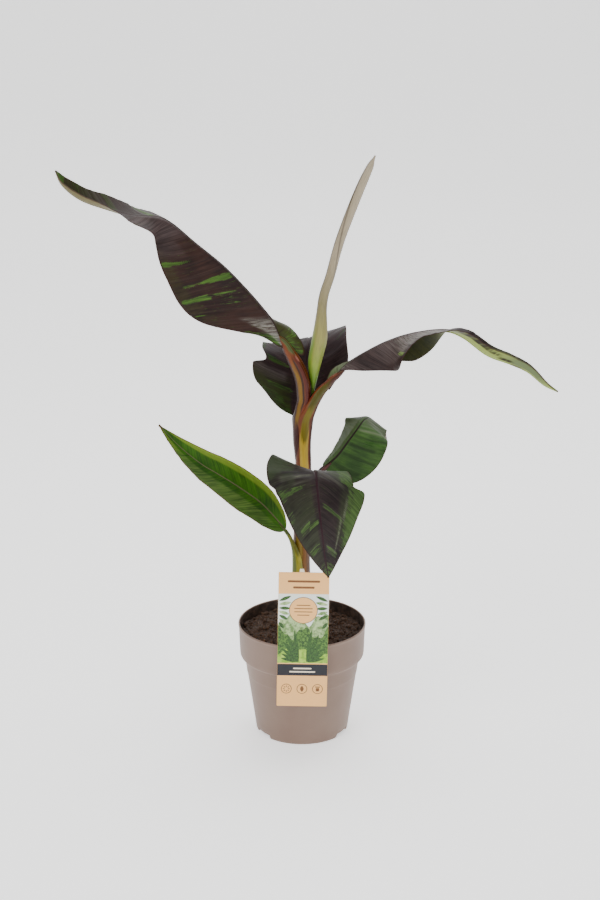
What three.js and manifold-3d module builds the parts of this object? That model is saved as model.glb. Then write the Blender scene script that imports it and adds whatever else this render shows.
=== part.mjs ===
// Potted banana plant: a nursery pot of soil, a pseudostem, six arching leaves, one furled leaf
// and a plant label. Millimetres, +Z up. The origin is the centre of the pot's flat underside;
// the label faces -Y and +X is on its right.
import * as THREE from 'three';
import { mergeVertices } from 'three/addons/utils/BufferGeometryUtils.js';
import Module from 'manifold-3d';

const wasm = await Module();
wasm.setup();

// ---------------------------------------------------------------- driving dimensions

const GAP = 0.3; // clearance between neighbouring pieces
const SPLIT_GAP = 0.5; // clearance where a long leaf is divided at its bend

const POT = {
  height: 153,
  rimRadius: 85,
  bandFootRadius: 83.5, // the deep upper band tapers to this
  bandFootHeight: 110,
  bodyTopRadius: 77, // the body starts under a small step
  bodyTopHeight: 104,
  footRadius: 62,
  lipHeight: 3,
  lipOut: 0.6,
  wall: 1.8,
  floor: 5,
  notches: 3, // drainage notches round the foot
  notchWidth: 30,
  notchHeight: 5,
  notchAzimuth: 92, // degrees, of the first one
  segments: 48,
};

const SOIL = { edgeHeight: 139, crownHeight: 142, crownRadius: 18 };

const LABEL = {
  width: 66,
  height: 190,
  thickness: 1.2,
  bottom: 69.5,
  front: -88, // y of its printed face
  lean: 1, // degrees
  stakeWidth: 7,
  stakeThickness: 1.6,
  stakeTop: 268.5,
  stakeFoot: 116,
  stakeInside: -79.5, // y of the stake where it stands in the soil
};

// A leaf is at least a hundredth of its length thick.
const THICKNESS_SHARE = 0.0102;
const LEAST_THICKNESS = 1.7;
const LEAST_HALF_WIDTH = 1.5; // of a blade, at its two ends
const CREASE = 7; // distance from the midrib over which a half folds

// Limbs: route of the centre line, heading in degrees from +X, and [share of length, radius] pairs.
const STEM_TOP = 420;
const LIMBS = {
  pseudostem: {
    heading: -90,
    route: [[0, 0, SOIL.crownHeight + GAP], [0, 0, 175], [-1, 0, 245], [1, 0, 327], [2, 0, 390],
      [2, 0, STEM_TOP]],
    radius: [[0, 15.5], [0.1, 13], [0.35, 11.5], [0.8, 9.5], [1, 9.7]],
  },
  petiole_left: {
    heading: 170,
    route: [[0, -3, STEM_TOP - 8], [0, -5, 445], [0, -6, 478], [-3, -7, 500], [-12, -8, 521],
      [-23, -8, 539]],
    radius: [[0, 9.3], [0.5, 10], [0.75, 9.5], [1, 5]],
  },
  petiole_right: {
    heading: -5,
    route: [[4, -5, STEM_TOP - 8], [6, -8, 438], [12, -9, 456], [21, -7, 471], [32, -4, 483]],
    radius: [[0, 9.5], [0.35, 9.8], [0.6, 7.8], [1, 5]],
  },
  petiole_back: {
    heading: 90,
    route: [[-1, 6, 366], [-4, 10, 400], [-7, 15, 424], [-8, 20, 436]],
    radius: [[0, 6.5], [1, 5]],
  },
  petiole_front: {
    heading: -90,
    route: [[1, -3, 326], [4, -22, 355], [9, -36, 371]],
    radius: [[0, 6.5], [1, 4]],
  },
  petiole_low_right: {
    heading: 30,
    route: [[6, 3, 324], [16, 4, 349], [29, 6, 370]],
    radius: [[0, 6.5], [1, 4]],
  },
  petiole_small: {
    heading: 190,
    route: [[-6, -6, 190], [-7, -8, 245], [-14, -12, 274], [-22, -14, 290]],
    radius: [[0, 8], [0.5, 7], [0.8, 3.2], [1, 2.6]],
  },
};

// The furled leaf is a roll, widest low down where it has begun to open.
const FURLED = {
  heading: 0,
  route: [[6, 1, STEM_TOP - 2], [11, 0, 450], [14, 0, 479], [16, 0, 516], [23, 2, 551],
    [28, 4, 599], [38, 6, 631], [49, 8, 676], [69, 8, 732], [86, 8, 772], [92, 8, 785]],
  radius: [[0, 3.2], [0.13, 2.6], [0.165, 2.8], [0.215, 6.8], [0.26, 10], [0.31, 11.2],
    [0.355, 11.6], [0.4, 9.6], [0.48, 6.1], [0.6, 5.9], [0.7, 5.3], [0.85, 5.6], [0.96, 4.2],
    [1, 1]],
  flatness: 0.75, // depth over width of its section
};

// Blades. Each half has pairs of [share of length, value]: fold at the midrib and curl towards the
// margin in degrees (positive lifts the half), width as a share of halfWidth, and sweep, how far
// the margin runs ahead of the midrib as a share of the width. Left and right are as seen when
// looking along the heading. A tear is a V cut in a margin. splitAt divides a leaf at its bend.
const FLAT = [[0, 0], [1, 0]];
const FULL = [[0, 1], [1, 1]];
const LEAVES = {
  leaf_left: {
    heading: 170,
    halfWidth: 78,
    basePower: 0.5,
    tipPower: 0.7,
    roll: FLAT,
    cells: [26, 10],
    rib: [5, 1.2],
    midrib: [[-23, -8, 539], [-42, -14, 582], [-90, -26, 642], [-132, -34, 681], [-172, -38, 714],
      [-211, -42, 720], [-244, -46, 730], [-275, -48, 742], [-296, -50, 760], [-304, -50, 778]],
    left: {
      fold: [[0, -45], [0.12, -75], [0.45, -75], [0.58, -60], [0.69, -30], [0.77, 20], [0.85, 50],
        [1, 70]],
      curl: [[0, 0], [0.3, 20], [0.5, 20], [1, 10]],
      width: [[0, 0.6], [0.1, 0.7], [0.25, 1], [0.38, 0.95], [0.5, 0.72], [0.62, 0.5],
        [0.75, 0.38], [1, 0.5]],
      sweep: [[0, 0.1], [1, 0.1]],
    },
    right: {
      fold: [[0, 80], [0.04, 70], [0.08, 30], [0.12, -30], [0.2, -70], [0.5, -60], [0.62, -10],
        [0.75, 25], [1, 50]],
      curl: FLAT,
      width: [[0, 0.9], [0.1, 0.5], [0.3, 0.9], [0.5, 0.8], [0.7, 0.45], [1, 0.6]],
      sweep: [[0, -0.7], [0.1, -0.5], [0.3, 0.1], [1, 0.2]],
    },
  },
  leaf_right: {
    heading: -5,
    halfWidth: 56,
    basePower: 0.45,
    tipPower: 0.6,
    roll: FLAT,
    cells: [28, 10],
    rib: [5, 1.2],
    splitAt: 0.5,
    midrib: [[32, -4, 483], [49, -5, 508], [72, -10, 528], [109, -16, 550], [145, -22, 563],
      [182, -28, 568], [206, -32, 560], [236, -36, 538], [266, -40, 527], [288, -42, 517],
      [309, -44, 500], [327, -44, 491]],
    right: {
      fold: [[0, -60], [0.17, -85], [0.27, -85], [0.36, -30], [0.44, 0], [0.52, 10], [0.63, 50],
        [1, 70]],
      curl: FLAT,
      width: [[0, 0.05], [0.08, 0.1], [0.17, 0.5], [0.28, 0.78], [0.38, 0.7], [0.5, 0.5],
        [0.65, 0.38], [1, 0.45]],
      sweep: FLAT,
    },
    left: {
      fold: [[0, 60], [0.06, 50], [0.12, 0], [0.2, -60], [0.36, -88], [0.44, -80], [0.53, -15],
        [0.64, 35], [1, 50]],
      curl: FLAT,
      width: [[0, 0.4], [0.07, 0.4], [0.14, 0.3], [0.35, 0.72], [0.45, 0.6], [0.55, 0.4],
        [0.7, 0.36], [1, 0.4]],
      sweep: [[0, -0.4], [0.15, -0.2], [0.3, 0], [1, 0]],
    },
  },
  leaf_front: {
    heading: -90,
    halfWidth: 64,
    basePower: 0.32,
    tipPower: 0.95,
    roll: FLAT,
    cells: [17, 10],
    rib: [4, 1],
    midrib: [[9, -36, 371], [14, -60, 390], [18, -88, 389], [21, -104, 361], [25, -110, 327],
      [29, -108, 292], [34, -102, 258]],
    right: {
      fold: [[0, 35], [0.1, 25], [0.25, 10], [0.4, 5], [1, 5]],
      curl: FLAT,
      width: [[0, 0.95], [0.28, 1], [0.4, 0.84], [1, 0.82]],
      sweep: [[0, 0.1], [1, 0.1]],
      tear: { at: 0.34, span: 0.03, depth: 0.05 },
    },
    left: {
      fold: [[0, 5], [0.1, 8], [0.2, -2], [0.3, -18], [0.5, -5], [1, 0]],
      curl: FLAT,
      width: [[0, 0.62], [0.1, 0.73], [0.2, 0.76], [0.27, 0.8], [0.32, 1], [0.4, 1.02], [1, 1]],
      sweep: [[0, 0], [0.25, 0.25], [0.4, 0.2], [1, 0.1]],
      tear: { at: 0.28, span: 0.02, depth: 0.06 },
    },
  },
  leaf_low_right: {
    heading: 30,
    halfWidth: 58,
    basePower: 0.45,
    tipPower: 0.8,
    roll: [[0, -50], [0.5, -35], [1, -10]],
    cells: [17, 10],
    rib: [4, 1],
    splitAt: 0.5,
    midrib: [[29, 6, 370], [46, 12, 384], [59, 18, 400], [72, 28, 415], [83, 44, 422],
      [93, 66, 415], [103, 90, 396], [113, 116, 366]],
    right: {
      fold: FLAT,
      curl: FLAT,
      width: [[0, 1], [0.3, 0.95], [0.5, 0.75], [1, 0.8]],
      sweep: [[0, -0.1], [1, -0.1]],
    },
    left: {
      fold: [[0, -60], [0.4, -60], [0.65, -30], [1, 0]],
      curl: FLAT,
      width: [[0, 0.55], [0.3, 0.45], [0.6, 0.5], [1, 0.8]],
      sweep: [[0, 0.1], [1, 0.1]],
    },
  },
  leaf_back: {
    heading: 90,
    halfWidth: 68,
    basePower: 0.4,
    tipPower: 0.8,
    roll: [[0, 0], [0.4, 8], [1, 8]],
    cells: [20, 10],
    rib: [5, 1.2],
    splitAt: 0.46,
    midrib: [[-8, 20, 436], [-1, 30, 461], [4, 42, 498], [7, 58, 522], [9, 84, 526],
      [11, 116, 510], [11, 144, 477], [11, 158, 433]],
    right: {
      fold: [[0, 20], [1, 0]],
      curl: FLAT,
      width: [[0, 0.2], [0.1, 0.35], [0.25, 0.85], [0.4, 0.8], [1, 0.8]],
      sweep: [[0, 0.1], [1, 0.1]],
    },
    left: {
      fold: [[0, 20], [0.3, 14], [0.42, -2], [1, -5]],
      curl: FLAT,
      width: [[0, 1.1], [0.235, 1.06], [0.26, 0.8], [0.33, 0.87], [1, 0.85]],
      sweep: [[0, 0.1], [1, 0.1]],
    },
  },
  leaf_small: {
    heading: 190,
    halfWidth: 33,
    basePower: 0.5,
    tipPower: 1,
    roll: [[0, 50], [1, 50]],
    cells: [16, 8],
    rib: [2.6, 0.9],
    midrib: [[-22, -14, 290], [-38, -16, 311], [-56, -20, 332], [-82, -26, 354], [-110, -32, 375],
      [-131, -36, 390], [-158, -40, 415], [-184, -42, 445]],
    right: {
      fold: [[0, 10], [1, 20]],
      curl: FLAT,
      width: [[0, 0.75], [1, 0.85]],
      sweep: [[0, 0.2], [1, 0.2]],
    },
    left: {
      fold: [[0, 10], [1, 20]],
      curl: FLAT,
      width: FULL,
      sweep: [[0, 0.2], [1, 0.2]],
    },
  },
};

const LIMB_SIDES = 12;
const LIMB_STEPS = 10;
const RIB_SIDES = 6;

// ---------------------------------------------------------------- materials

const material = (color, roughness) => (
  new THREE.MeshStandardMaterial({ color, roughness, metalness: 0 })
);
const MATERIALS = {
  pot: material(0x9d8f84, 0.6),
  soil: material(0x33261e, 0.95),
  stem: material(0x8f8a3a, 0.5),
  petiole: material(0x7a3b22, 0.45),
  dark_leaf: material(0x3d2a2b, 0.5),
  green_leaf: material(0x4c7d25, 0.5),
  furled_leaf: material(0xa5ad6a, 0.5),
  label: material(0xdcc09a, 0.6),
};

// ---------------------------------------------------------------- shared maths

const radians = THREE.MathUtils.degToRad;
const smooth = (x) => THREE.MathUtils.smoothstep(x, 0, 1);

/** Value at s of a smooth curve through [s, value] pairs. */
function keyed(pairs, s) {
  const slope = (i) => {
    if (i <= 0 || i >= pairs.length - 1) return 0;
    return (pairs[i + 1][1] - pairs[i - 1][1]) / (pairs[i + 1][0] - pairs[i - 1][0]);
  };
  let i = 0;
  while (i < pairs.length - 2 && s >= pairs[i + 1][0]) i += 1;
  const [s0, a] = pairs[i];
  const [s1, b] = pairs[i + 1];
  const step = s1 - s0;
  const t = THREE.MathUtils.clamp((s - s0) / step, 0, 1);
  const ends = a + (b - a) * t * t * (3 - 2 * t);
  return ends + step * (slope(i) * t * (1 - t) ** 2 - slope(i + 1) * t * t * (1 - t));
}

function curveThrough(points) {
  const vectors = points.map((point) => new THREE.Vector3(...point));
  return new THREE.CatmullRomCurve3(vectors, false, 'catmullrom', 0.5);
}

/** Axes at share s of a route: forward along it, right of the heading, and up, rolled by degrees. */
function frameAt(curve, heading, roll, s) {
  const forward = curve.getTangentAt(s);
  const level = new THREE.Vector3(Math.sin(radians(heading)), -Math.cos(radians(heading)), 0);
  const right = level.addScaledVector(forward, -level.dot(forward)).normalize();
  const up = new THREE.Vector3().crossVectors(right, forward);
  const turn = radians(roll);
  const across = right.clone().multiplyScalar(Math.cos(turn)).addScaledVector(up, Math.sin(turn));
  const above = up.clone().multiplyScalar(Math.cos(turn)).addScaledVector(right, -Math.sin(turn));
  return { origin: curve.getPointAt(s), forward, right: across, up: above };
}

// ---------------------------------------------------------------- solids

function toManifold(geometry) {
  const bare = geometry.clone();
  bare.deleteAttribute('normal');
  bare.deleteAttribute('uv');
  const merged = mergeVertices(bare, 1e-4);
  return new wasm.Manifold(new wasm.Mesh({
    numProp: 3,
    vertProperties: new Float32Array(merged.attributes.position.array),
    triVerts: new Uint32Array(merged.index.array),
  }));
}

/** The largest body of a solid: scraps that a cut leaves loose are dropped. */
function mainBody(solid) {
  const bodies = solid.decompose();
  return bodies.reduce((best, body) => (body.volume() > best.volume() ? body : best));
}

function toMesh(name, solid, mat) {
  const { vertProperties, triVerts } = solid.getMesh();
  const geometry = new THREE.BufferGeometry();
  geometry.setAttribute('position', new THREE.BufferAttribute(new Float32Array(vertProperties), 3));
  geometry.setIndex(new THREE.BufferAttribute(new Uint32Array(triVerts), 1));
  geometry.computeVertexNormals();
  const mesh = new THREE.Mesh(geometry, mat);
  mesh.name = name;
  return mesh;
}

/** A round or flattened limb along a route, from a cylinder whose rings are moved onto it.
 *  grow widens and lengthens it, for cutting its neighbours clear. */
function limb({ heading, route, radius, flatness = 1, steps = LIMB_STEPS }, grow = 0) {
  const curve = curveThrough(route);
  const geometry = new THREE.CylinderGeometry(1, 1, 1, LIMB_SIDES, steps);
  const position = geometry.attributes.position;
  for (let i = 0; i < position.count; i += 1) {
    const s = THREE.MathUtils.clamp(position.getY(i) + 0.5, 0, 1);
    const frame = frameAt(curve, heading, 0, s);
    const wide = keyed(radius, s) + grow;
    const deep = keyed(radius, s) * flatness + grow;
    const point = frame.origin
      .addScaledVector(frame.right, position.getX(i) * wide)
      .addScaledVector(frame.up, position.getZ(i) * deep);
    if (s === 0) point.addScaledVector(frame.forward, -grow);
    if (s === 1) point.addScaledVector(frame.forward, grow);
    position.setXYZ(i, ...point);
  }
  return toManifold(geometry);
}

/** Half width of one side of a blade at share s, before the outline's ends are squared off. */
function halfWidth(leaf, side, s) {
  const peak = leaf.basePower / (leaf.basePower + leaf.tipPower);
  const crown = peak ** leaf.basePower * (1 - peak) ** leaf.tipPower;
  const outline = (s ** leaf.basePower * (1 - s) ** leaf.tipPower) / crown;
  let width = leaf.halfWidth * keyed(side.width, s) * outline;
  if (side.tear) {
    const { at, span, depth } = side.tear;
    width *= 1 - depth * Math.max(0, 1 - Math.abs(s - at) / span);
  }
  return Math.max(width, LEAST_HALF_WIDTH);
}

/** Point and unit normal of a blade's middle surface; v runs from -1 (left margin) to 1 (right). */
function bladePoint(leaf, curve, s, v) {
  const side = v < 0 ? leaf.left : leaf.right;
  const sign = v < 0 ? -1 : 1;
  const reach = Math.abs(v);
  const frame = frameAt(curve, leaf.heading, keyed(leaf.roll, s), s);
  const width = halfWidth(leaf, side, s);
  const fold = radians(keyed(side.fold, s));
  const curl = radians(keyed(side.curl, s));
  const angle = (t) => fold * smooth((t * width) / CREASE) + curl * t;
  const slices = 12;
  let across = 0;
  let rise = 0;
  for (let i = 0; i < slices; i += 1) {
    const middle = angle(((i + 0.5) / slices) * reach);
    across += (Math.cos(middle) * width * reach) / slices;
    rise += (Math.sin(middle) * width * reach) / slices;
  }
  const ahead = keyed(side.sweep, s) * width * reach ** 1.6;
  const point = frame.origin.clone()
    .addScaledVector(frame.right, sign * across)
    .addScaledVector(frame.up, rise)
    .addScaledVector(frame.forward, ahead);
  const normal = frame.up.clone().multiplyScalar(Math.cos(angle(reach)))
    .addScaledVector(frame.right, -sign * Math.sin(angle(reach)));
  return { point, normal };
}

/** Shares of length where a blade has a row of vertices, closer at its two ends and at its tears. */
function stationsOf(leaf, from, to) {
  const count = Math.round(leaf.cells[0] * (to - from));
  const rows = [];
  for (let i = 0; i <= count; i += 1) {
    const u = i / count;
    rows.push(from + (to - from) * (u - (0.6 * Math.sin(2 * Math.PI * u)) / (2 * Math.PI)));
  }
  for (const { tear } of [leaf.left, leaf.right]) {
    if (!tear) continue;
    for (const s of [tear.at - tear.span, tear.at, tear.at + tear.span]) {
      if (s > from && s < to) rows.push(s);
    }
  }
  return rows.sort((a, b) => a - b);
}

/** One closed blade with its midrib, from share from to share to of the leaf's length. */
function blade(leaf, from, to) {
  const curve = curveThrough(leaf.midrib);
  const thickness = Math.max(LEAST_THICKNESS, THICKNESS_SHARE * curve.getLength());
  const rows = stationsOf(leaf, from, to);
  const sheet = new THREE.BoxGeometry(1, 1, 1, rows.length - 1, leaf.cells[1], 1);
  const position = sheet.attributes.position;
  for (let i = 0; i < position.count; i += 1) {
    const s = rows[Math.round((position.getX(i) + 0.5) * (rows.length - 1))];
    const { point, normal } = bladePoint(leaf, curve, s, -2 * position.getY(i));
    position.setXYZ(i, ...point.addScaledVector(normal, position.getZ(i) * thickness));
  }
  const ribEnd = Math.min(to, 0.97);
  const rib = new THREE.CylinderGeometry(1, 1, 1, RIB_SIDES, rows.length - 1);
  const ribPosition = rib.attributes.position;
  for (let i = 0; i < ribPosition.count; i += 1) {
    const s = from + (ribEnd - from) * THREE.MathUtils.clamp(ribPosition.getY(i) + 0.5, 0, 1);
    const frame = frameAt(curve, leaf.heading, keyed(leaf.roll, s), s);
    const radius = THREE.MathUtils.lerp(leaf.rib[0], leaf.rib[1], s);
    const point = frame.origin
      .addScaledVector(frame.right, ribPosition.getX(i) * radius)
      .addScaledVector(frame.up, (ribPosition.getZ(i) - 0.3) * radius);
    ribPosition.setXYZ(i, ...point);
  }
  return toManifold(sheet).add(toManifold(rib));
}

// ---------------------------------------------------------------- pot, soil and label

function lathe(profile) {
  const points = profile.map(([radius, height]) => new THREE.Vector2(radius, height));
  const geometry = new THREE.LatheGeometry(points, POT.segments);
  geometry.rotateX(Math.PI / 2);
  return toManifold(geometry);
}

const innerWall = [
  [POT.footRadius - POT.wall, POT.floor],
  [POT.bodyTopRadius - POT.wall, POT.bodyTopHeight],
  [POT.bandFootRadius - POT.wall, POT.bandFootHeight],
  [POT.rimRadius - POT.wall, POT.height],
];

function pot() {
  const shell = lathe([
    [0, 0],
    [POT.footRadius, 0],
    [POT.bodyTopRadius, POT.bodyTopHeight],
    [POT.bandFootRadius, POT.bandFootHeight],
    [POT.rimRadius, POT.height - POT.lipHeight],
    [POT.rimRadius + POT.lipOut, POT.height - POT.lipHeight + POT.lipOut],
    [POT.rimRadius + POT.lipOut, POT.height],
    ...innerWall.toReversed(),
    [0, POT.floor],
  ]);
  const notches = Array.from({ length: POT.notches }, (_, i) => {
    const notch = new THREE.BoxGeometry(POT.notchHeight * 2, POT.notchWidth, POT.notchHeight * 2);
    notch.translate(POT.footRadius, 0, 0);
    notch.rotateZ(radians(POT.notchAzimuth) + (i / POT.notches) * 2 * Math.PI);
    return toManifold(notch);
  });
  return notches.reduce((solid, notch) => solid.subtract(notch), shell);
}

/** The upright strip behind the label: it stands in the soil and steps over the rim to the card. */
function stake(grow) {
  const half = LABEL.stakeThickness / 2 + grow;
  const outside = LABEL.front + LABEL.thickness;
  const inside = LABEL.stakeInside;
  const overRim = POT.height + 5;
  const profile = new THREE.Shape([
    new THREE.Vector2(inside - half, LABEL.stakeFoot - grow),
    new THREE.Vector2(inside + half, LABEL.stakeFoot - grow),
    new THREE.Vector2(inside + half, overRim),
    new THREE.Vector2(outside + half, overRim + 12),
    new THREE.Vector2(outside + half, LABEL.stakeTop),
    new THREE.Vector2(outside - half, LABEL.stakeTop),
    new THREE.Vector2(outside - half, overRim + 12),
    new THREE.Vector2(inside - half, overRim),
  ]);
  const width = LABEL.stakeWidth + 2 * grow;
  const strip = new THREE.ExtrudeGeometry(profile, { depth: width, bevelEnabled: false, steps: 1 });
  // the profile's plane becomes the YZ plane, and the strip runs along X
  strip.applyMatrix4(new THREE.Matrix4().makeBasis(
    new THREE.Vector3(0, 1, 0),
    new THREE.Vector3(0, 0, 1),
    new THREE.Vector3(1, 0, 0),
  ));
  strip.translate(-width / 2, 0, 0);
  return toManifold(strip);
}

function label() {
  const card = new THREE.BoxGeometry(LABEL.width, LABEL.thickness, LABEL.height);
  card.rotateY(radians(LABEL.lean));
  card.translate(1, LABEL.front + LABEL.thickness / 2, LABEL.bottom + LABEL.height / 2);
  return toManifold(card).add(stake(0));
}

function soil() {
  const wall = innerWall.map(([radius, height]) => [radius - GAP, height]);
  const [foot, bodyTop, bandFoot, rim] = wall;
  const share = (SOIL.edgeHeight - bandFoot[1]) / (rim[1] - bandFoot[1]);
  const edgeRadius = THREE.MathUtils.lerp(bandFoot[0], rim[0], share);
  return lathe([
    [0, POT.floor + GAP],
    [foot[0], POT.floor + GAP],
    bodyTop,
    [bandFoot[0], bandFoot[1] + GAP],
    [edgeRadius, SOIL.edgeHeight],
    [SOIL.crownRadius, SOIL.crownHeight],
    [0, SOIL.crownHeight],
  ]).subtract(stake(GAP));
}

// ---------------------------------------------------------------- assembly

const plant = new THREE.Group();
plant.add(toMesh('pot', pot(), MATERIALS.pot));
plant.add(toMesh('soil', soil(), MATERIALS.soil));
plant.add(toMesh('plant_label', label(), MATERIALS.label));

// Limbs are cut clear of the ones before them, and the leaves of all of them.
let taken = null;
function addLimb(name, shape, mat) {
  const solid = taken ? mainBody(limb(shape).subtract(taken)) : limb(shape);
  const cleared = limb(shape, GAP);
  taken = taken ? taken.add(cleared) : cleared;
  plant.add(toMesh(name, solid, mat));
}
for (const [name, shape] of Object.entries(LIMBS)) {
  addLimb(name, shape, name === 'pseudostem' ? MATERIALS.stem : MATERIALS.petiole);
}
addLimb('leaf_furled', { ...FURLED, steps: 26 }, MATERIALS.furled_leaf);

for (const [name, leaf] of Object.entries(LEAVES)) {
  const mat = name === 'leaf_small' ? MATERIALS.green_leaf : MATERIALS.dark_leaf;
  const addBlade = (node, from, to) => {
    plant.add(toMesh(node, mainBody(blade(leaf, from, to).subtract(taken)), mat));
  };
  if (leaf.splitAt) {
    const gap = SPLIT_GAP / curveThrough(leaf.midrib).getLength();
    addBlade(`${name}_inner`, 0, leaf.splitAt);
    addBlade(`${name}_outer`, leaf.splitAt + gap, 1);
  } else {
    addBlade(name, 0, 1);
  }
}

export default plant;
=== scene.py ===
"""Looks of the potted banana plant. Every piece is built here in metres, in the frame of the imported
model. Sizes below are in millimetres and degrees; MM turns them into metres."""

import math

import bpy
import numpy as np
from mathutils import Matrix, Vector


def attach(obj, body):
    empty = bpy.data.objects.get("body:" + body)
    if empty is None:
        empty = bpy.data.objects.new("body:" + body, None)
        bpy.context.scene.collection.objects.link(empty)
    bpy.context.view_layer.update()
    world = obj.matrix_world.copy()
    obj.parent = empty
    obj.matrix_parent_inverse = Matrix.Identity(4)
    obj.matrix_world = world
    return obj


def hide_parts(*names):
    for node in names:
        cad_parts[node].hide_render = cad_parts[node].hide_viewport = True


MM = 0.001
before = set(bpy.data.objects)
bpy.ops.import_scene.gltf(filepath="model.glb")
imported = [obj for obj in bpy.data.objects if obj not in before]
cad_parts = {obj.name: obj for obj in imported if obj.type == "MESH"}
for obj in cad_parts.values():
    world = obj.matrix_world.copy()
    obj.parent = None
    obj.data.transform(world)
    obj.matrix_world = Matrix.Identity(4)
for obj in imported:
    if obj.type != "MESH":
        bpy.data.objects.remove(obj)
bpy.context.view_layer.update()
scene = bpy.context.scene


# ---------------------------------------------------------------- camera

CAMERA_PLACE = (-0.0027, -2.755, 1.340)
CAMERA_PITCH = 18.9  # degrees below level
FILM_MM = 36.0  # on the long, upright side of the image
LENS_MM = 88.92

camera_data = bpy.data.cameras.new("camera")
camera_data.sensor_fit = "VERTICAL"
camera_data.sensor_height = FILM_MM
camera_data.lens = LENS_MM
camera = bpy.data.objects.new("camera", camera_data)
camera.location = CAMERA_PLACE
camera.rotation_euler = (math.radians(90 - CAMERA_PITCH), 0, 0)
scene.collection.objects.link(camera)
scene.camera = camera


# ---------------------------------------------------------------- shared maths

def smoothstep(low, high, x):
    t = np.clip((np.asarray(x, float) - low) / (high - low), 0, 1)
    return t * t * (3 - 2 * t)


def keyed(pairs, s):
    """Values at s of a smooth curve through (s, value) pairs, or one number that holds everywhere."""
    s = np.asarray(s, float)
    if not isinstance(pairs, list):
        return np.full(s.shape, float(pairs))
    at, value = np.array(pairs, float).T
    slope = np.zeros(len(at))
    slope[1:-1] = (value[2:] - value[:-2]) / (at[2:] - at[:-2])
    i = np.clip(np.searchsorted(at, s, side="right") - 1, 0, len(at) - 2)
    step = at[i + 1] - at[i]
    t = np.clip((s - at[i]) / step, 0, 1)
    ends = value[i] + (value[i + 1] - value[i]) * t * t * (3 - 2 * t)
    return ends + step * (slope[i] * t * (1 - t) ** 2 - slope[i + 1] * t * t * (1 - t))


class Route:
    """A smooth line through points, read by its share of length."""

    SAMPLES = 1200
    REACH = 0.004  # share of length on each side over which the way forward is read

    def __init__(self, points):
        p = np.array(points, float)
        p = np.vstack([2 * p[0] - p[1], p, 2 * p[-1] - p[-2]])
        spans = len(p) - 3
        t = np.linspace(0, spans, self.SAMPLES)
        i = np.minimum(t.astype(int), spans - 1)
        u = (t - i)[:, None]
        a, b, c, d = p[i], p[i + 1], p[i + 2], p[i + 3]
        self.line = 0.5 * (2 * b + (c - a) * u + (2 * a - 5 * b + 4 * c - d) * u ** 2
                           + (3 * b - a - 3 * c + d) * u ** 3)
        steps = np.linalg.norm(np.diff(self.line, axis=0), axis=1)
        distance = np.concatenate([[0], np.cumsum(steps)])
        self.length = distance[-1]
        self.share = distance / self.length

    def _read(self, values, s):
        return np.stack([np.interp(s, self.share, values[:, k]) for k in range(3)], -1)

    def frames(self, heading, roll, s):
        """Origin, forward, right and up at shares s; roll turns right towards up."""
        origin = self._read(self.line, s)
        forward = (self._read(self.line, np.minimum(s + self.REACH, 1))
                   - self._read(self.line, np.maximum(s - self.REACH, 0)))
        forward /= np.linalg.norm(forward, axis=-1, keepdims=True)
        level = np.array([math.sin(math.radians(heading)), -math.cos(math.radians(heading)), 0])
        right = level - forward * (forward @ level)[:, None]
        right /= np.linalg.norm(right, axis=-1, keepdims=True)
        up = np.cross(right, forward)
        turn = np.radians(roll)[:, None]
        return (origin, forward, right * np.cos(turn) + up * np.sin(turn),
                up * np.cos(turn) - right * np.sin(turn))


def lattice(i, j, seed):
    """A fixed pseudo-random number from 0 to 1 for each whole-numbered place."""
    return np.modf(np.abs(np.sin(i * 127.1 + j * 311.7 + seed * 74.7) * 43758.5453))[0]


def soft_noise(x, y, seed):
    """Smooth noise from -1 to 1, with features about one unit across."""
    i, j = np.floor(x), np.floor(y)
    u, v = smoothstep(0, 1, x - i), smoothstep(0, 1, y - j)
    low = lattice(i, j, seed) * (1 - u) + lattice(i + 1, j, seed) * u
    high = lattice(i, j + 1, seed) * (1 - u) + lattice(i + 1, j + 1, seed) * u
    return 2 * (low * (1 - v) + high * v) - 1


# ---------------------------------------------------------------- meshes

UV_WALL = 0.94  # share of the baking layout's height that a tube's wall takes
UV_END_RADIUS = 0.02
UV_END_CENTRES = ([0.03, 0.975], [0.1, 0.975])


def link_mesh(name, points, faces, materials, smooth=True):
    """A mesh object from points in millimetres."""
    mesh = bpy.data.meshes.new(name)
    mesh.from_pydata((np.asarray(points) * MM).tolist(), [], [tuple(f) for f in faces])
    for material in materials:
        mesh.materials.append(material)
    mesh.polygons.foreach_set("use_smooth", np.full(len(mesh.polygons), smooth))
    obj = bpy.data.objects.new(name, mesh)
    scene.collection.objects.link(obj)
    return obj


def add_field(obj, name, values):
    """A number at each vertex, which a material reads by its name."""
    layer = obj.data.attributes.new(name, "FLOAT", "POINT")
    layer.data.foreach_set("value", np.asarray(values, np.float32).ravel())


def ring_faces(rows, around):
    """Point numbers of a stack of rings, those of the points that follow, and the walls between."""
    index = np.arange(rows * around).reshape(rows, around)
    following = np.roll(index, -1, axis=1)
    walls = np.stack([index[:-1], following[:-1], following[1:], index[1:]], -1).reshape(-1, 4)
    return index, following, walls


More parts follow.
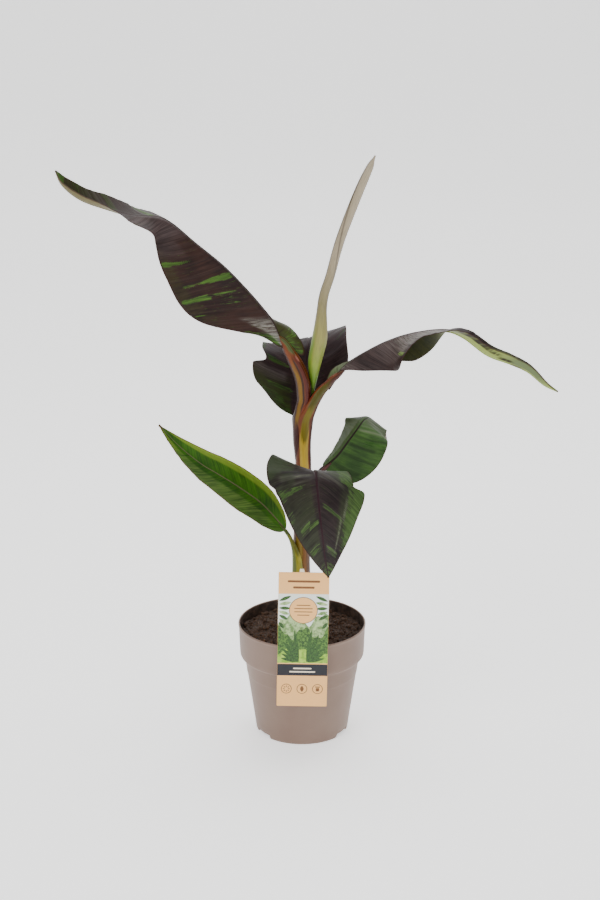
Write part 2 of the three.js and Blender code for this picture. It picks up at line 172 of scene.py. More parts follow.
def tube(name, rings, material, fields=None):
    """A closed skin over rings of points, (rows, around, 3), with both ends closed.
    fields maps a name to (rows, around) numbers."""
    rows, around, _ = rings.shape
    index, following, walls = ring_faces(rows, around)
    foot, tip = rows * around, rows * around + 1
    foot_fan = np.stack([following[0], index[0], np.full(around, foot)], -1)
    tip_fan = np.stack([index[-1], following[-1], np.full(around, tip)], -1)
    points = np.vstack([rings.reshape(-1, 3), rings[0].mean(0), rings[-1].mean(0)])
    faces = walls.tolist() + foot_fan.tolist() + tip_fan.tolist()
    obj = link_mesh(name, points, faces, [material])
    for field, values in (fields or {}).items():
        ends = [values[0].mean(), values[-1].mean()]
        add_field(obj, field, np.concatenate([np.ravel(values), ends]))
    # the baking layout: the wall unrolled, and the two ends as small discs above it
    u = np.arange(around + 1) / around
    v = UV_WALL * np.arange(rows) / (rows - 1)
    low, high = np.meshgrid(u[:-1], v[:-1]), np.meshgrid(u[1:], v[1:])
    wall_uv = np.stack([low[0], low[1], high[0], low[1], high[0], high[1], low[0], high[1]], -1)
    turn = 2 * np.pi * u
    end_disc = UV_END_RADIUS * np.stack([np.cos(turn), np.sin(turn)], -1)
    parts = [wall_uv.reshape(-1, 2)]
    for centre in UV_END_CENTRES:
        fan = [end_disc[:-1] + centre, end_disc[1:] + centre, np.tile(centre, (around, 1))]
        parts.append(np.stack(fan, 1).reshape(-1, 2))
    layer = obj.data.uv_layers.new(name="OFBake")
    layer.data.foreach_set("uv", np.vstack(parts).ravel())
    return obj


def place(obj, slot, *nodes):
    """Rides a finished piece on the one body and hides the nodes it stands for. slot is not used."""
    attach(obj, "root")
    if nodes:
        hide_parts(*nodes)


# ---------------------------------------------------------------- materials

def rgb(red, green, blue):
    """A colour given as 0 to 255 on screen, as the shader's linear numbers."""
    def linear(c):
        c /= 255
        return c / 12.92 if c <= 0.04045 else ((c + 0.055) / 1.055) ** 2.4
    return (linear(red), linear(green), linear(blue), 1.0)


class Shader:
    """A principled material and short ways to add the nodes that feed it."""

    def __init__(self, name):
        self.material = bpy.data.materials.new(name)
        self.material.use_nodes = True
        self.tree = self.material.node_tree
        self.tree.nodes.clear()
        self.surface = self.tree.nodes.new("ShaderNodeBsdfPrincipled")
        output = self.tree.nodes.new("ShaderNodeOutputMaterial")
        self.tree.links.new(self.surface.outputs[0], output.inputs[0])

    def feed(self, socket, value):
        if isinstance(value, bpy.types.NodeSocket):
            self.tree.links.new(value, socket)
        else:
            socket.default_value = value

    def set(self, name, value):
        self.feed(self.surface.inputs[name], value)

    def field(self, name):
        node = self.tree.nodes.new("ShaderNodeAttribute")
        node.attribute_type = "GEOMETRY"
        node.attribute_name = name
        return node.outputs["Fac"]

    def place(self):
        return self.tree.nodes.new("ShaderNodeTexCoord").outputs["Object"]

    def math(self, operation, a, b):
        node = self.tree.nodes.new("ShaderNodeMath")
        node.operation = operation
        self.feed(node.inputs[0], a)
        self.feed(node.inputs[1], b)
        return node.outputs[0]

    def add(self, a, b):
        return self.math("ADD", a, b)

    def times(self, *values):
        product = values[0]
        for value in values[1:]:
            product = self.math("MULTIPLY", product, value)
        return product

    def step(self, value, low, high):
        """0 below low, 1 above high, smooth between; low may be above high."""
        node = self.tree.nodes.new("ShaderNodeMapRange")
        node.interpolation_type = "SMOOTHSTEP"
        self.feed(node.inputs["Value"], value)
        node.inputs["From Min"].default_value = min(low, high)
        node.inputs["From Max"].default_value = max(low, high)
        node.inputs["To Min"].default_value = 0.0 if low < high else 1.0
        node.inputs["To Max"].default_value = 1.0 if low < high else 0.0
        return node.outputs["Result"]

    def vector(self, x, y, z):
        node = self.tree.nodes.new("ShaderNodeCombineXYZ")
        for socket, value in zip(node.inputs, (x, y, z)):
            self.feed(socket, value)
        return node.outputs[0]

    def noise(self, vector, scale, detail=3.0, roughness=0.55):
        node = self.tree.nodes.new("ShaderNodeTexNoise")
        self.feed(node.inputs["Vector"], vector)
        node.inputs["Scale"].default_value = scale
        node.inputs["Detail"].default_value = detail
        node.inputs["Roughness"].default_value = roughness
        return node.outputs["Fac"]

    def mix(self, share, a, b):
        node = self.tree.nodes.new("ShaderNodeMix")
        node.data_type = "RGBA"
        self.feed(node.inputs[0], share)
        self.feed(node.inputs[6], a)
        self.feed(node.inputs[7], b)
        return node.outputs[2]

    def ramp(self, value, *stops):
        node = self.tree.nodes.new("ShaderNodeValToRGB")
        points = node.color_ramp.elements
        while len(points) < len(stops):
            points.new(0.5)
        for point, (at, colour) in zip(points, stops):
            point.position = at
            point.color = colour
        self.feed(node.inputs[0], value)
        return node.outputs[0]

    def coat(self, colour, grain, spread, roughness, specular=0.5):
        """The colour, a roughness that varies with the grain, and how strongly the skin shines."""
        self.set("Base Color", colour)
        self.set("Roughness", self.add(self.times(grain, spread), roughness))
        self.set("Specular IOR Level", specular)

    def bump(self, height, distance, strength):
        node = self.tree.nodes.new("ShaderNodeBump")
        node.inputs["Strength"].default_value = strength
        node.inputs["Distance"].default_value = distance
        self.feed(node.inputs["Height"], height)
        self.tree.links.new(node.outputs[0], self.surface.inputs["Normal"])


def leaf_material(name, look):
    """A blade: the upper face by its green, grey-purple (waxy bloom and painted sheen) and dark fields,
    and the paler underside.
    Noise is drawn out along the veins: vein is the place along the midrib where a vein starts, and
    across the distance from the midrib."""
    m = Shader(name)
    vein, across, seed = m.field("vein"), m.field("across"), look["seed"]
    threads = m.vector(vein, m.times(across, 0.03), seed)
    streaks = m.vector(vein, m.times(across, 0.12), seed + 0.3)
    fine = m.noise(threads, 1000, 2)
    hair = m.noise(threads, 1900, 2, 0.6)
    broad = m.noise(streaks, 230, 3)
    ragged = m.noise(streaks, 520, 5, 0.72)
    cloud = m.noise(m.place(), 26, 3)
    scatter = m.noise(m.place(), 19, 2)

    tone = m.add(m.times(cloud, 0.6), m.times(broad, 0.4))
    top = m.ramp(tone, (0.40, look["top"][0]), (0.60, look["top"][1]))
    # side veins: fine pale and dark lines
    top = m.mix(m.times(m.step(fine, 0.52, 0.72), look["line"]), top, look["line_colour"])
    top = m.mix(m.times(m.step(fine, 0.46, 0.30), 0.5), top, look["shade"])
    # the base and the folds have a dull grey-purple colour: partly waxy bloom, partly a painted sheen
    # where the folds catch the light
    bloom_and_sheen_mask = m.times(m.field("bloom_and_sheen"), m.step(m.add(fine, m.times(broad, 0.6)), 0.40, 1.15))
    top = m.mix(bloom_and_sheen_mask, top, look["bloom_and_sheen"])
    mottle = m.add(broad, m.times(cloud, 0.7))
    mossy = m.times(m.field("moss"), m.step(mottle, *look["mottle"]))
    top = m.mix(mossy, top, look["moss"])
    # green streaks with ragged ends, cut by dark threads, and scattered flecks between them
    reach = m.add(m.field("green"), m.times(m.math("SUBTRACT", ragged, 0.5), look["ragged"]))
    cuts = m.math("MAXIMUM", m.step(hair, 0.34, 0.46), m.step(m.field("green"), 0.8, 1.0))
    green_mask = m.times(m.step(reach, 0.44, 0.60), cuts)
    specks = m.noise(streaks, 640, 3, 0.7)
    flecks = m.times(m.step(specks, 0.60, 0.66), m.step(scatter, 0.48, 0.62), look["flecks"])
    green = m.ramp(m.add(m.times(broad, 0.5), m.times(fine, 0.5)),
                   (0.36, look["green"][0]), (0.62, look["green"][1]))
    top = m.mix(m.math("MAXIMUM", flecks, green_mask), top, green)
    top = m.mix(m.times(m.field("glint"), m.step(hair, 0.44, 0.60)), top, look["glint"])

    under = m.ramp(tone, (0.38, look["under"][0]), (0.62, look["under"][1]))
    under = m.mix(m.field("pale"), under, look["pale"])
    under = m.mix(m.times(m.step(fine, 0.5, 0.8), 0.3), under, look["line_colour"])
    under = m.mix(m.field("moss"), under, look["moss"])
    surface = m.mix(m.field("under"), top, under)
    surface = m.mix(m.times(m.field("dark"), m.step(broad, 0.2, 0.5)), surface, look["dark"])

    low, high = look["rib_reach"]
    surface = m.mix(m.step(m.field("from_rib"), high, low), surface, look["rib"])
    margin = m.step(m.field("edge"), 0.0016, 0.0006)
    surface = m.mix(m.times(margin, 0.7), surface, look["margin"])
    m.coat(surface, broad, 0.16, look["roughness"], look["specular"])
    height = m.add(m.times(fine, 0.45), m.times(broad, 0.55))
    m.bump(height, 0.0007, 0.6)
    return m.material


DARK_LOOK = {
    "seed": 0.0,
    "top": (rgb(30, 16, 14), rgb(48, 28, 22)),
    "shade": rgb(18, 9, 9),
    "line": 0.3,
    "line_colour": rgb(72, 52, 46),
    "mottle": (0.62, 0.9),
    "ragged": 1.6,
    "flecks": 0.0,
    "green": (rgb(30, 66, 12), rgb(74, 124, 30)),
    # the dull grey-purple of waxy bloom and of painted sheen on folds and crests
    "bloom_and_sheen": rgb(92, 80, 80),
    "glint": rgb(150, 150, 140),
    "moss": rgb(54, 62, 30),
    "dark": rgb(30, 14, 18),
    "under": (rgb(70, 62, 48), rgb(90, 82, 58)),
    "pale": rgb(134, 130, 98),
    "rib": rgb(46, 22, 26),
    "rib_reach": (0.25, 0.45),
    "margin": rgb(52, 20, 18),
    "roughness": 0.40,
    "specular": 0.16,
}

# ---------------------------------------------------------------- leaves

CREASE = 7  # distance from the midrib over which a half folds
LEAST_HALF_WIDTH = 1.5
SLICES = 12  # steps in which a half's fold is added up
RIB_COLUMNS = 8  # columns of a half that lie over the midrib
RIB_REACH = 1.15  # how far they reach, as a share of the midrib's half width
HALF_THICK = 0.55  # of the blade beside the midrib
EDGE_THINNING = 0.2  # how much of it is lost at the margin
KEEL = 0.8  # depth of the midrib's underside and of the groove above it, as shares of its half width
GROOVE = 0.3
PLEAT_HEIGHT = 0.42
PLEAT_WIDTH = 5.2
PLEAT_LENGTHS = (90, 60)
PLEAT_START = 12  # distance from the midrib at which the pleats have their full height
MARK_KINDS = ("green", "bloom_and_sheen", "moss", "glint", "dark")

# Each half has (share of length, value) pairs, or one number: fold at the midrib and curl towards
# the margin in degrees, width as a share of half_width, sweep, how far the margin runs ahead of the
# midrib, and lead, how far a vein runs ahead on its way to the margin, both as a share of the width.
# A tear is (place, span, depth). rib is the midrib's half width at its foot and tip, cells the rows
# and the columns of a half, and wave the height of the slow waves and their count. Marks are painted
# along the veins, by kind and half, each as (vein share of length, half height at its inner end, the
# same at its outer end, share of the width where it starts, the same where it ends, strength).
LEAVES = {
    "leaf_left": dict(
        nodes=["leaf_left"], slot="dark_leaf", heading=170,
        half_width=78, base_power=0.5, tip_power=0.7,
        rib=(5, 1.2), cells=(340, 48), wave=(1.2, 9),
        pale=[(0, 0.15), (0.55, 0.2), (0.75, 0.8), (1, 0.9)],
        midrib=[(-23, -8, 539), (-42, -14, 582), (-90, -26, 642), (-132, -34, 681), (-172, -38, 714),
            (-211, -42, 720), (-244, -46, 730), (-275, -48, 742), (-296, -50, 760), (-304, -50, 778)],
        left=dict(
            fold=[(0, -45), (0.12, -75), (0.45, -75), (0.58, -60), (0.69, -30), (0.77, 20), (0.85, 50),
                (1, 70)],
            curl=[(0, 0), (0.3, 20), (0.5, 20), (1, 10)],
            width=[(0, 0.42), (0.06, 0.52), (0.12, 0.73), (0.25, 1), (0.38, 0.95), (0.5, 0.7),
                (0.6, 0.46), (0.66, 0.37), (0.72, 0.31), (0.8, 0.27), (1, 0.36)],
            sweep=0.1,
            lead=0.65),
        right=dict(
            fold=[(0, 80), (0.04, 70), (0.08, 30), (0.12, -30), (0.2, -70), (0.5, -60), (0.62, -10),
                (0.75, 25), (1, 50)],
            width=[(0, 0.9), (0.1, 0.5), (0.3, 0.9), (0.5, 0.8), (0.7, 0.43), (0.82, 0.46), (1, 0.6)],
            sweep=[(0, -1.5), (0.05, -1.05), (0.12, -0.45), (0.3, 0.1), (1, 0.2)],
            lead=0.65),
        marks=dict(
            green=dict(left=[(0.318, 0.022, 0.006, 0, 0.55, 0.9), (0.318, 0.012, 0.01, 0.4, 0.86, 0.56),
                (0.246, 0.014, 0.018, 0.5, 1, 0.9), (0.252, 0.006, 0.014, 0.08, 0.66, 0.56),
                (0.42, 0.002, 0.019, 0.3, 1.02, 0.74), (0.205, 0.012, 0.012, 0.2, 0.62, 0.42),
                (0.235, 0.03, 0.03, 0.2, 0.5, 0.34), (0.165, 0.004, 0.008, 0.8, 1.02, 0.7),
                (0.03, 0.03, 0.05, 0.35, 1.02, 0.55), (0.08, 0.03, 0.03, 0.3, 0.7, 0.36),
                (0.86, 0.07, 0.07, 0, 0.6, 0.45), (0.975, 0.035, 0.035, 0, 1.02, 0.8)],
                right=[(0, 0.06, 0.08, 0.25, 1.02, 0.48), (0.763, 0.017, 0.019, 0.02, 1.02, 0.8),
                (0.64, 0.016, 0.02, 0.02, 1.02, 0.76), (0.86, 0.07, 0.07, 0.05, 1.02, 0.52),
                (0.975, 0.035, 0.035, 0, 1.02, 0.8)]),
            bloom_and_sheen=dict(left=[(0.01, 0.05, 0.05, 0, 0.75, 1), (0.57, 0.06, 0.06, 0, 1.02, 0.55),
                (0.48, 0.04, 0.04, 0.3, 1.02, 0.3), (0.64, 0.06, 0.06, 0, 1.02, 0.5)]),
            moss=dict(left=[(0.3, 0.16, 0.2, 0.72, 1.02, 0.3)],
                right=[(0.01, 0.09, 0.11, 0, 1.02, 0.95), (0.87, 0.12, 0.12, 0, 1.02, 0.75)]),
            glint=dict(left=[(0.066, 0.05, 0.06, 0, 0.62, 0.86), (0, 0.022, 0.03, 0.05, 0.62, 0.9)]),
            dark=dict(right=[(0.78, 0.16, 0.16, 0, 1.02, 0.8)])),
        look=dict(seed=1.3, flecks=0.5, moss=rgb(54, 58, 24), green=(rgb(34, 60, 16), rgb(76, 112, 38)),
            dark=rgb(36, 22, 16), pale=rgb(106, 99, 68), glint=rgb(150, 148, 138))),
    "leaf_right": dict(
        nodes=["leaf_right_inner", "leaf_right_outer"], slot="dark_leaf", heading=-5,
        half_width=56, base_power=0.45, tip_power=0.6,
        rib=(5, 1.2), cells=(320, 44), wave=(1, 8),
        pale=[(0, 0.6), (0.12, 0.4), (0.3, 0), (0.48, 0), (0.58, 0.9), (1, 1)],
        midrib=[(32, -4, 483), (49, -5, 508), (72, -10, 528), (109, -16, 550), (145, -22, 563),
            (182, -28, 568), (206, -32, 560), (236, -36, 538), (266, -40, 527), (288, -42, 517),
            (309, -44, 500), (327, -44, 491)],
        left=dict(
            fold=[(0, 60), (0.06, 50), (0.12, 0), (0.2, -60), (0.36, -88), (0.44, -80), (0.53, -15),
                (0.64, 35), (1, 50)],
            width=[(0, 0.4), (0.07, 0.4), (0.14, 0.3), (0.35, 0.72), (0.45, 0.6), (0.55, 0.4),
                (0.7, 0.36), (1, 0.4)],
            sweep=[(0, -0.4), (0.15, -0.2), (0.3, 0), (1, 0)],
            lead=0.6),
        right=dict(
            fold=[(0, -60), (0.17, -85), (0.27, -85), (0.36, -30), (0.44, 0), (0.52, 10), (0.63, 50),
                (1, 70)],
            width=[(0, 0.05), (0.08, 0.1), (0.17, 0.5), (0.28, 0.78), (0.38, 0.7), (0.5, 0.5),
                (0.65, 0.38), (1, 0.45)],
            lead=0.6),
        marks=dict(
            green=dict(left=[(1, 0.06, 0.06, 0, 1.02, 1)], right=[(0.3, 0.016, 0.016, 0.55, 0.95, 0.55),
                (1, 0.06, 0.06, 0, 1.02, 1)]),
            bloom_and_sheen=dict(right=[(0.06, 0.09, 0.12, 0, 1.02, 0.7), (0.33, 0.12, 0.12, 0, 0.8, 0.9),
                (0.42, 0.12, 0.12, 0, 0.7, 0.9)]),
            moss=dict(left=[(0, 0.14, 0.14, 0, 1.02, 1), (0.8, 0.22, 0.22, 0, 1.02, 0.6)],
                right=[(0.84, 0.1, 0.1, 0.3, 1.3, 0.9)]),
            glint=dict(right=[(0.06, 0.06, 0.06, 0, 0.6, 0.6), (0.42, 0.12, 0.12, 0.1, 0.9, 0.5)]),
            dark=dict(left=[(0.6, 0.12, 0.12, 0.4, 1.3, 0.9)],
                right=[(0.59, 0.13, 0.13, 0.54, 1.3, 0.95), (0.705, 0.03, 0.03, 0.5, 0.85, 0.9),
                (0.76, 0.03, 0.03, 0.26, 0.6, 0.9), (0.815, 0.03, 0.03, 0.04, 0.34, 0.85)])),
        look=dict(seed=2.7, top=(rgb(32, 21, 21), rgb(50, 36, 34)), bloom_and_sheen=rgb(92, 80, 78),
            under=(rgb(20, 24, 0), rgb(40, 42, 0)), pale=rgb(140, 154, 80), moss=rgb(92, 104, 72),
            green=(rgb(86, 116, 44), rgb(128, 156, 80)))),
    "leaf_front": dict(
        nodes=["leaf_front"], slot="dark_leaf", heading=-90,
        half_width=64, base_power=0.32, tip_power=0.95,
        rib=(4, 1), cells=(240, 52), wave=(1, 5),
        pale=[(0, 0.3), (1, 0.4)],
        midrib=[(9, -36, 371), (14, -60, 390), (18, -88, 389), (21, -104, 361), (25, -110, 327),
            (29, -108, 292), (34, -102, 258)],
        left=dict(
            fold=[(0, -4), (0.1, 0), (0.2, -10), (0.3, -18), (0.5, -5), (1, 0)],
            width=[(0, 0.62), (0.1, 0.7), (0.2, 0.74), (0.27, 0.79), (0.32, 0.97), (0.4, 1),
                (0.6, 0.93), (1, 0.88)],
            sweep=[(0, 0), (0.25, 0.25), (0.4, 0.2), (1, 0.1)],
            lead=[(0, 0.2), (0.5, 0.9), (1, 1)],
            tear=(0.28, 0.02, 0.06)),
        right=dict(
            fold=[(0, 28), (0.1, 22), (0.25, 10), (0.4, 5), (1, 5)],
            width=[(0, 0.9), (0.1, 0.93), (0.28, 1), (0.4, 0.82), (0.7, 0.78), (1, 0.76)],
            sweep=0.1,
            lead=[(0, 0), (0.3, 0.1), (0.6, 0.6), (1, 0.8)],
            tear=(0.34, 0.03, 0.05)),
        marks=dict(
            green=dict(left=[(0.47, 0.022, 0.024, 0.03, 0.66, 0.6),
                (0.56, 0.012, 0.012, 0.3, 0.66, 0.44), (0.77, 0.05, 0.05, 0.08, 0.8, 0.48),
                (0.3, 0.45, 0.45, 0.6, 1.3, 0.62), (0.3, 0.45, 0.45, 0.72, 1.3, 0.95),
                (0.96, 0.12, 0.12, 0, 1.02, 0.56)], right=[(0.34, 0.014, 0.036, 0.3, 1.02, 0.6),
                (0.45, 0.06, 0.06, 0.72, 1.02, 0.42), (0.585, 0.024, 0.024, 0.02, 0.5, 0.66),
                (0.556, 0.034, 0.034, 0.3, 0.84, 0.58), (0.74, 0.03, 0.04, 0.1, 0.9, 0.52),
                (0.96, 0.12, 0.12, 0, 1.02, 0.5)]),
            bloom_and_sheen=dict(left=[(0.16, 0.04, 0.04, 0.05, 0.9, 0.6), (0.24, 0.02, 0.015, 0.05, 0.6, 0.7),
                (0.47, 0.016, 0.016, 0.06, 0.6, 0.5), (0.76, 0.04, 0.04, 0.08, 0.7, 0.5)],
                right=[(0.275, 0.014, 0.014, 0.05, 0.8, 0.7), (0.313, 0.008, 0.008, 0.05, 0.6, 0.5)]),
            moss=dict(left=[(0.1, 0.12, 0.14, 0.35, 1.02, 0.8), (0.42, 0.26, 0.26, 0.45, 1.02, 0.5)],
                right=[(0.12, 0.2, 0.26, 0.4, 1.04, 0.9), (0.6, 0.3, 0.3, 0.1, 1.02, 0.5)]),
            glint=dict(left=[(0.6, 0.16, 0.16, 0.54, 0.6, 0.5), (0.38, 0.1, 0.1, 0.61, 0.67, 0.45)],
                right=[(0.275, 0.004, 0.004, 0.05, 0.5, 0.35)])),
        look=dict(seed=4.1, flecks=0.4, top=(rgb(26, 19, 20), rgb(44, 34, 34)),
            green=(rgb(34, 54, 22), rgb(76, 100, 50)), moss=rgb(48, 58, 36),
            line_colour=rgb(74, 68, 62), bloom_and_sheen=rgb(84, 82, 74), rib=rgb(40, 16, 24),
            rib_reach=(0.4, 0.6), mottle=(0.55, 0.9), ragged=2.2, glint=rgb(132, 140, 112))),
    "leaf_low_right": dict(
        nodes=["leaf_low_right_inner", "leaf_low_right_outer"], slot="dark_leaf", heading=30,
        half_width=58, base_power=0.45, tip_power=0.8,
        rib=(4, 1), cells=(170, 44), wave=(0.8, 5),
        pale=[(0, 0.3), (1, 0.4)],
        roll=[(0, -50), (0.35, -44), (0.5, -32), (0.62, -8), (1, 5)],
        midrib=[(29, 6, 370), (46, 12, 384), (59, 18, 400), (72, 28, 415), (83, 44, 424), (93, 66, 418),
            (103, 90, 397), (113, 116, 366)],
        left=dict(
            fold=[(0, -60), (0.35, -55), (0.5, -50), (0.65, -40), (1, 0)],
            width=[(0, 0.36), (0.2, 0.4), (0.35, 0.55), (0.5, 0.6), (0.65, 0.6), (1, 0.8)],
            sweep=0.1,
            lead=[(0, 0.3), (1, 0.6)]),
        right=dict(
            width=[(0, 0.98), (0.3, 0.88), (0.5, 0.66), (0.62, 0.56), (0.8, 0.44), (1, 0.5)],
            sweep=-0.1,
            lead=[(0, 0.3), (1, 0.6)]),
        marks=dict(
            green=dict(right=[(0.3, 0.06, 0.06, 0.3, 1.02, 0.5)]),
            bloom_and_sheen=dict(left=[(0.2, 0.4, 0.4, 0.1, 1.02, 0.45)],
                right=[(0.365, 0.014, 0.014, 0.02, 1.02, 0.8), (0.4, 0.006, 0.006, 0.02, 1.02, 0.6),
                (0.52, 0.1, 0.1, 0.1, 1.02, 0.5)]),
            moss=dict(left=[(0.4, 0.3, 0.3, 0, 1.02, 0.6)], right=[(0.52, 0.12, 0.12, 0, 1.02, 0.9)]),
            dark=dict(left=[(0.48, 0.06, 0.06, 0.05, 0.6, 0.5)],
                right=[(0.31, 0.01, 0.01, 0, 1.02, 0.5), (0.24, 0.014, 0.014, 0, 0.8, 0.6),
                (0.16, 0.012, 0.012, 0, 1.02, 0.5), (0.07, 0.02, 0.02, 0, 0.9, 0.5)])),
        look=dict(seed=5.9, top=(rgb(42, 66, 30), rgb(64, 96, 40)), shade=rgb(26, 42, 18),
            dark=rgb(22, 32, 16), line_colour=rgb(70, 86, 56), green=(rgb(26, 56, 14), rgb(46, 84, 22)),
            bloom_and_sheen=rgb(104, 108, 88), moss=rgb(58, 66, 40), rib=rgb(34, 22, 18), mottle=(0.5, 0.8))),
    "leaf_back": dict(
        nodes=["leaf_back_inner", "leaf_back_outer"], slot="dark_leaf", heading=90,
        half_width=68, base_power=0.4, tip_power=0.8,
        rib=(5, 1.2), cells=(240, 48), wave=(0.8, 5),
        pale=[(0, 0.3), (1, 0.5)],
        roll=[(0, 0), (0.4, 8), (1, 8)],
        midrib=[(-8, 20, 436), (-1, 30, 461), (4, 42, 498), (7, 58, 522), (9, 84, 526), (11, 116, 510),
            (11, 144, 477), (11, 158, 433)],
        left=dict(
            fold=[(0, 20), (0.3, 14), (0.42, -2), (1, -5)],
            width=[(0, 1.1), (0.235, 1.06), (0.26, 0.8), (0.33, 0.87), (1, 0.85)],
            sweep=0.1,
            lead=[(0, 0.1), (1, 0.6)]),
        right=dict(
            fold=[(0, 20), (1, 0)],
            width=[(0, 0.2), (0.1, 0.35), (0.25, 0.85), (0.4, 0.8), (1, 0.8)],
            sweep=0.1,
            lead=[(0, 0.35), (1, 0.6)]),
        marks=dict(
            green=dict(left=[(0.24, 0.012, 0.02, 0.3, 1.02, 0.62),
                (0.125, 0.014, 0.018, 0.15, 0.8, 0.58), (0.06, 0.02, 0.04, 0.4, 1.02, 0.54),
                (0.01, 0.03, 0.05, 0.2, 0.9, 0.54), (0.3, 0.04, 0.05, 0.86, 1.3, 0.7)],
                right=[(0.33, 0.03, 0.03, 0.7, 1.02, 0.45), (0.2, 0.01, 0.01, 0.05, 0.95, 0.36)]),
            bloom_and_sheen=dict(left=[(0.18, 0.03, 0.03, 0.3, 1.02, 0.7), (0.28, 0.02, 0.02, 0.3, 1.02, 0.4)],
                right=[(0.28, 0.01, 0.01, 0.3, 1.02, 0.3)]),
            moss=dict(left=[(0.04, 0.14, 0.16, 0.2, 1.3, 0.8)])),
        look=dict(seed=7.2, top=(rgb(26, 14, 17), rgb(44, 29, 30)), shade=rgb(18, 9, 12),
            line_colour=rgb(66, 50, 50), green=(rgb(26, 42, 14), rgb(48, 72, 26)), rib=rgb(38, 18, 20),
            moss=rgb(38, 48, 14), ragged=2.4, bloom_and_sheen=rgb(84, 74, 76), mottle=(0.5, 0.9))),
    "leaf_small": dict(
        nodes=["leaf_small"], slot="green_leaf", heading=190,
        half_width=33, base_power=0.5, tip_power=1,
        rib=(2.6, 0.9), cells=(210, 30), wave=(0.9, 6),
        pale=[(0, 0.2), (1, 0.5)],
        roll=50,
        midrib=[(-22, -14, 290), (-38, -16, 311), (-56, -20, 332), (-82, -26, 354), (-110, -32, 375),
            (-131, -36, 390), (-158, -40, 415), (-184, -42, 445)],
        left=dict(
            fold=[(0, 10), (1, 20)],
            width=1,
            sweep=0.2,
            lead=0.9),
        right=dict(
            fold=[(0, 10), (1, 20)],
            width=[(0, 0.75), (1, 0.85)],
            sweep=0.2,
            lead=0.9),
        marks=dict(
            bloom_and_sheen=dict(left=[(0.45, 0.5, 0.5, 0.3, 1.3, 0.55)]),
            moss=dict(left=[(0.9, 0.12, 0.12, 0.3, 1.02, 0.4)], right=[(0.45, 0.7, 0.7, 0.62, 1.3, 0.6),
                (0.45, 0.7, 0.7, 0.8, 1.3, 0.85)]),
            glint=dict(left=[(0.62, 0.07, 0.07, 0.92, 1.04, 0.6)]),
            dark=dict(left=[(1, 0.03, 0.03, 0, 1.02, 0.9)], right=[(1, 0.03, 0.03, 0, 1.02, 0.9)])),
        look=dict(seed=8.8, top=(rgb(26, 62, 4), rgb(52, 96, 12)), shade=rgb(18, 44, 6),
            line_colour=rgb(98, 132, 40), line=0.4, moss=rgb(124, 146, 44), mottle=(0.1, 0.7),
            bloom_and_sheen=rgb(112, 132, 70), under=(rgb(78, 104, 44), rgb(98, 126, 56)),
            pale=rgb(150, 156, 104), rib=rgb(92, 84, 60), rib_reach=(0.3, 0.55), margin=rgb(84, 48, 22),
            roughness=0.42)),
}


def half_width(leaf, side, s):
    peak = leaf["base_power"] / (leaf["base_power"] + leaf["tip_power"])
    crown = peak ** leaf["base_power"] * (1 - peak) ** leaf["tip_power"]
    outline = s ** leaf["base_power"] * (1 - s) ** leaf["tip_power"] / crown
    width = leaf["half_width"] * keyed(side["width"], s) * outline
    if "tear" in side:
        at, span, depth = side["tear"]
        width = width * (1 - depth * np.maximum(0, 1 - np.abs(s - at) / span))
    return np.maximum(width, LEAST_HALF_WIDTH)


def mark_field(marks, vein_share, t):
    """How strongly one kind of mark covers each place of a half, from 0 to 1."""
    field = np.zeros_like(t)
    for vein, inner, outer, start, end, strength in marks:
        run = np.clip((t - start) / (end - start), 0, 1)
        height = inner + (outer - inner) * run
        off = np.abs(vein_share - vein) / np.maximum(height, 1e-4)
        soft = min(0.1, 0.4 * (end - start))
        ends = smoothstep(start - 0.02, start + soft, t) * smoothstep(end + 0.02, end - soft, t)
        field = np.maximum(field, strength * ends * (1 - smoothstep(0.35, 1.3, off)))
    return field


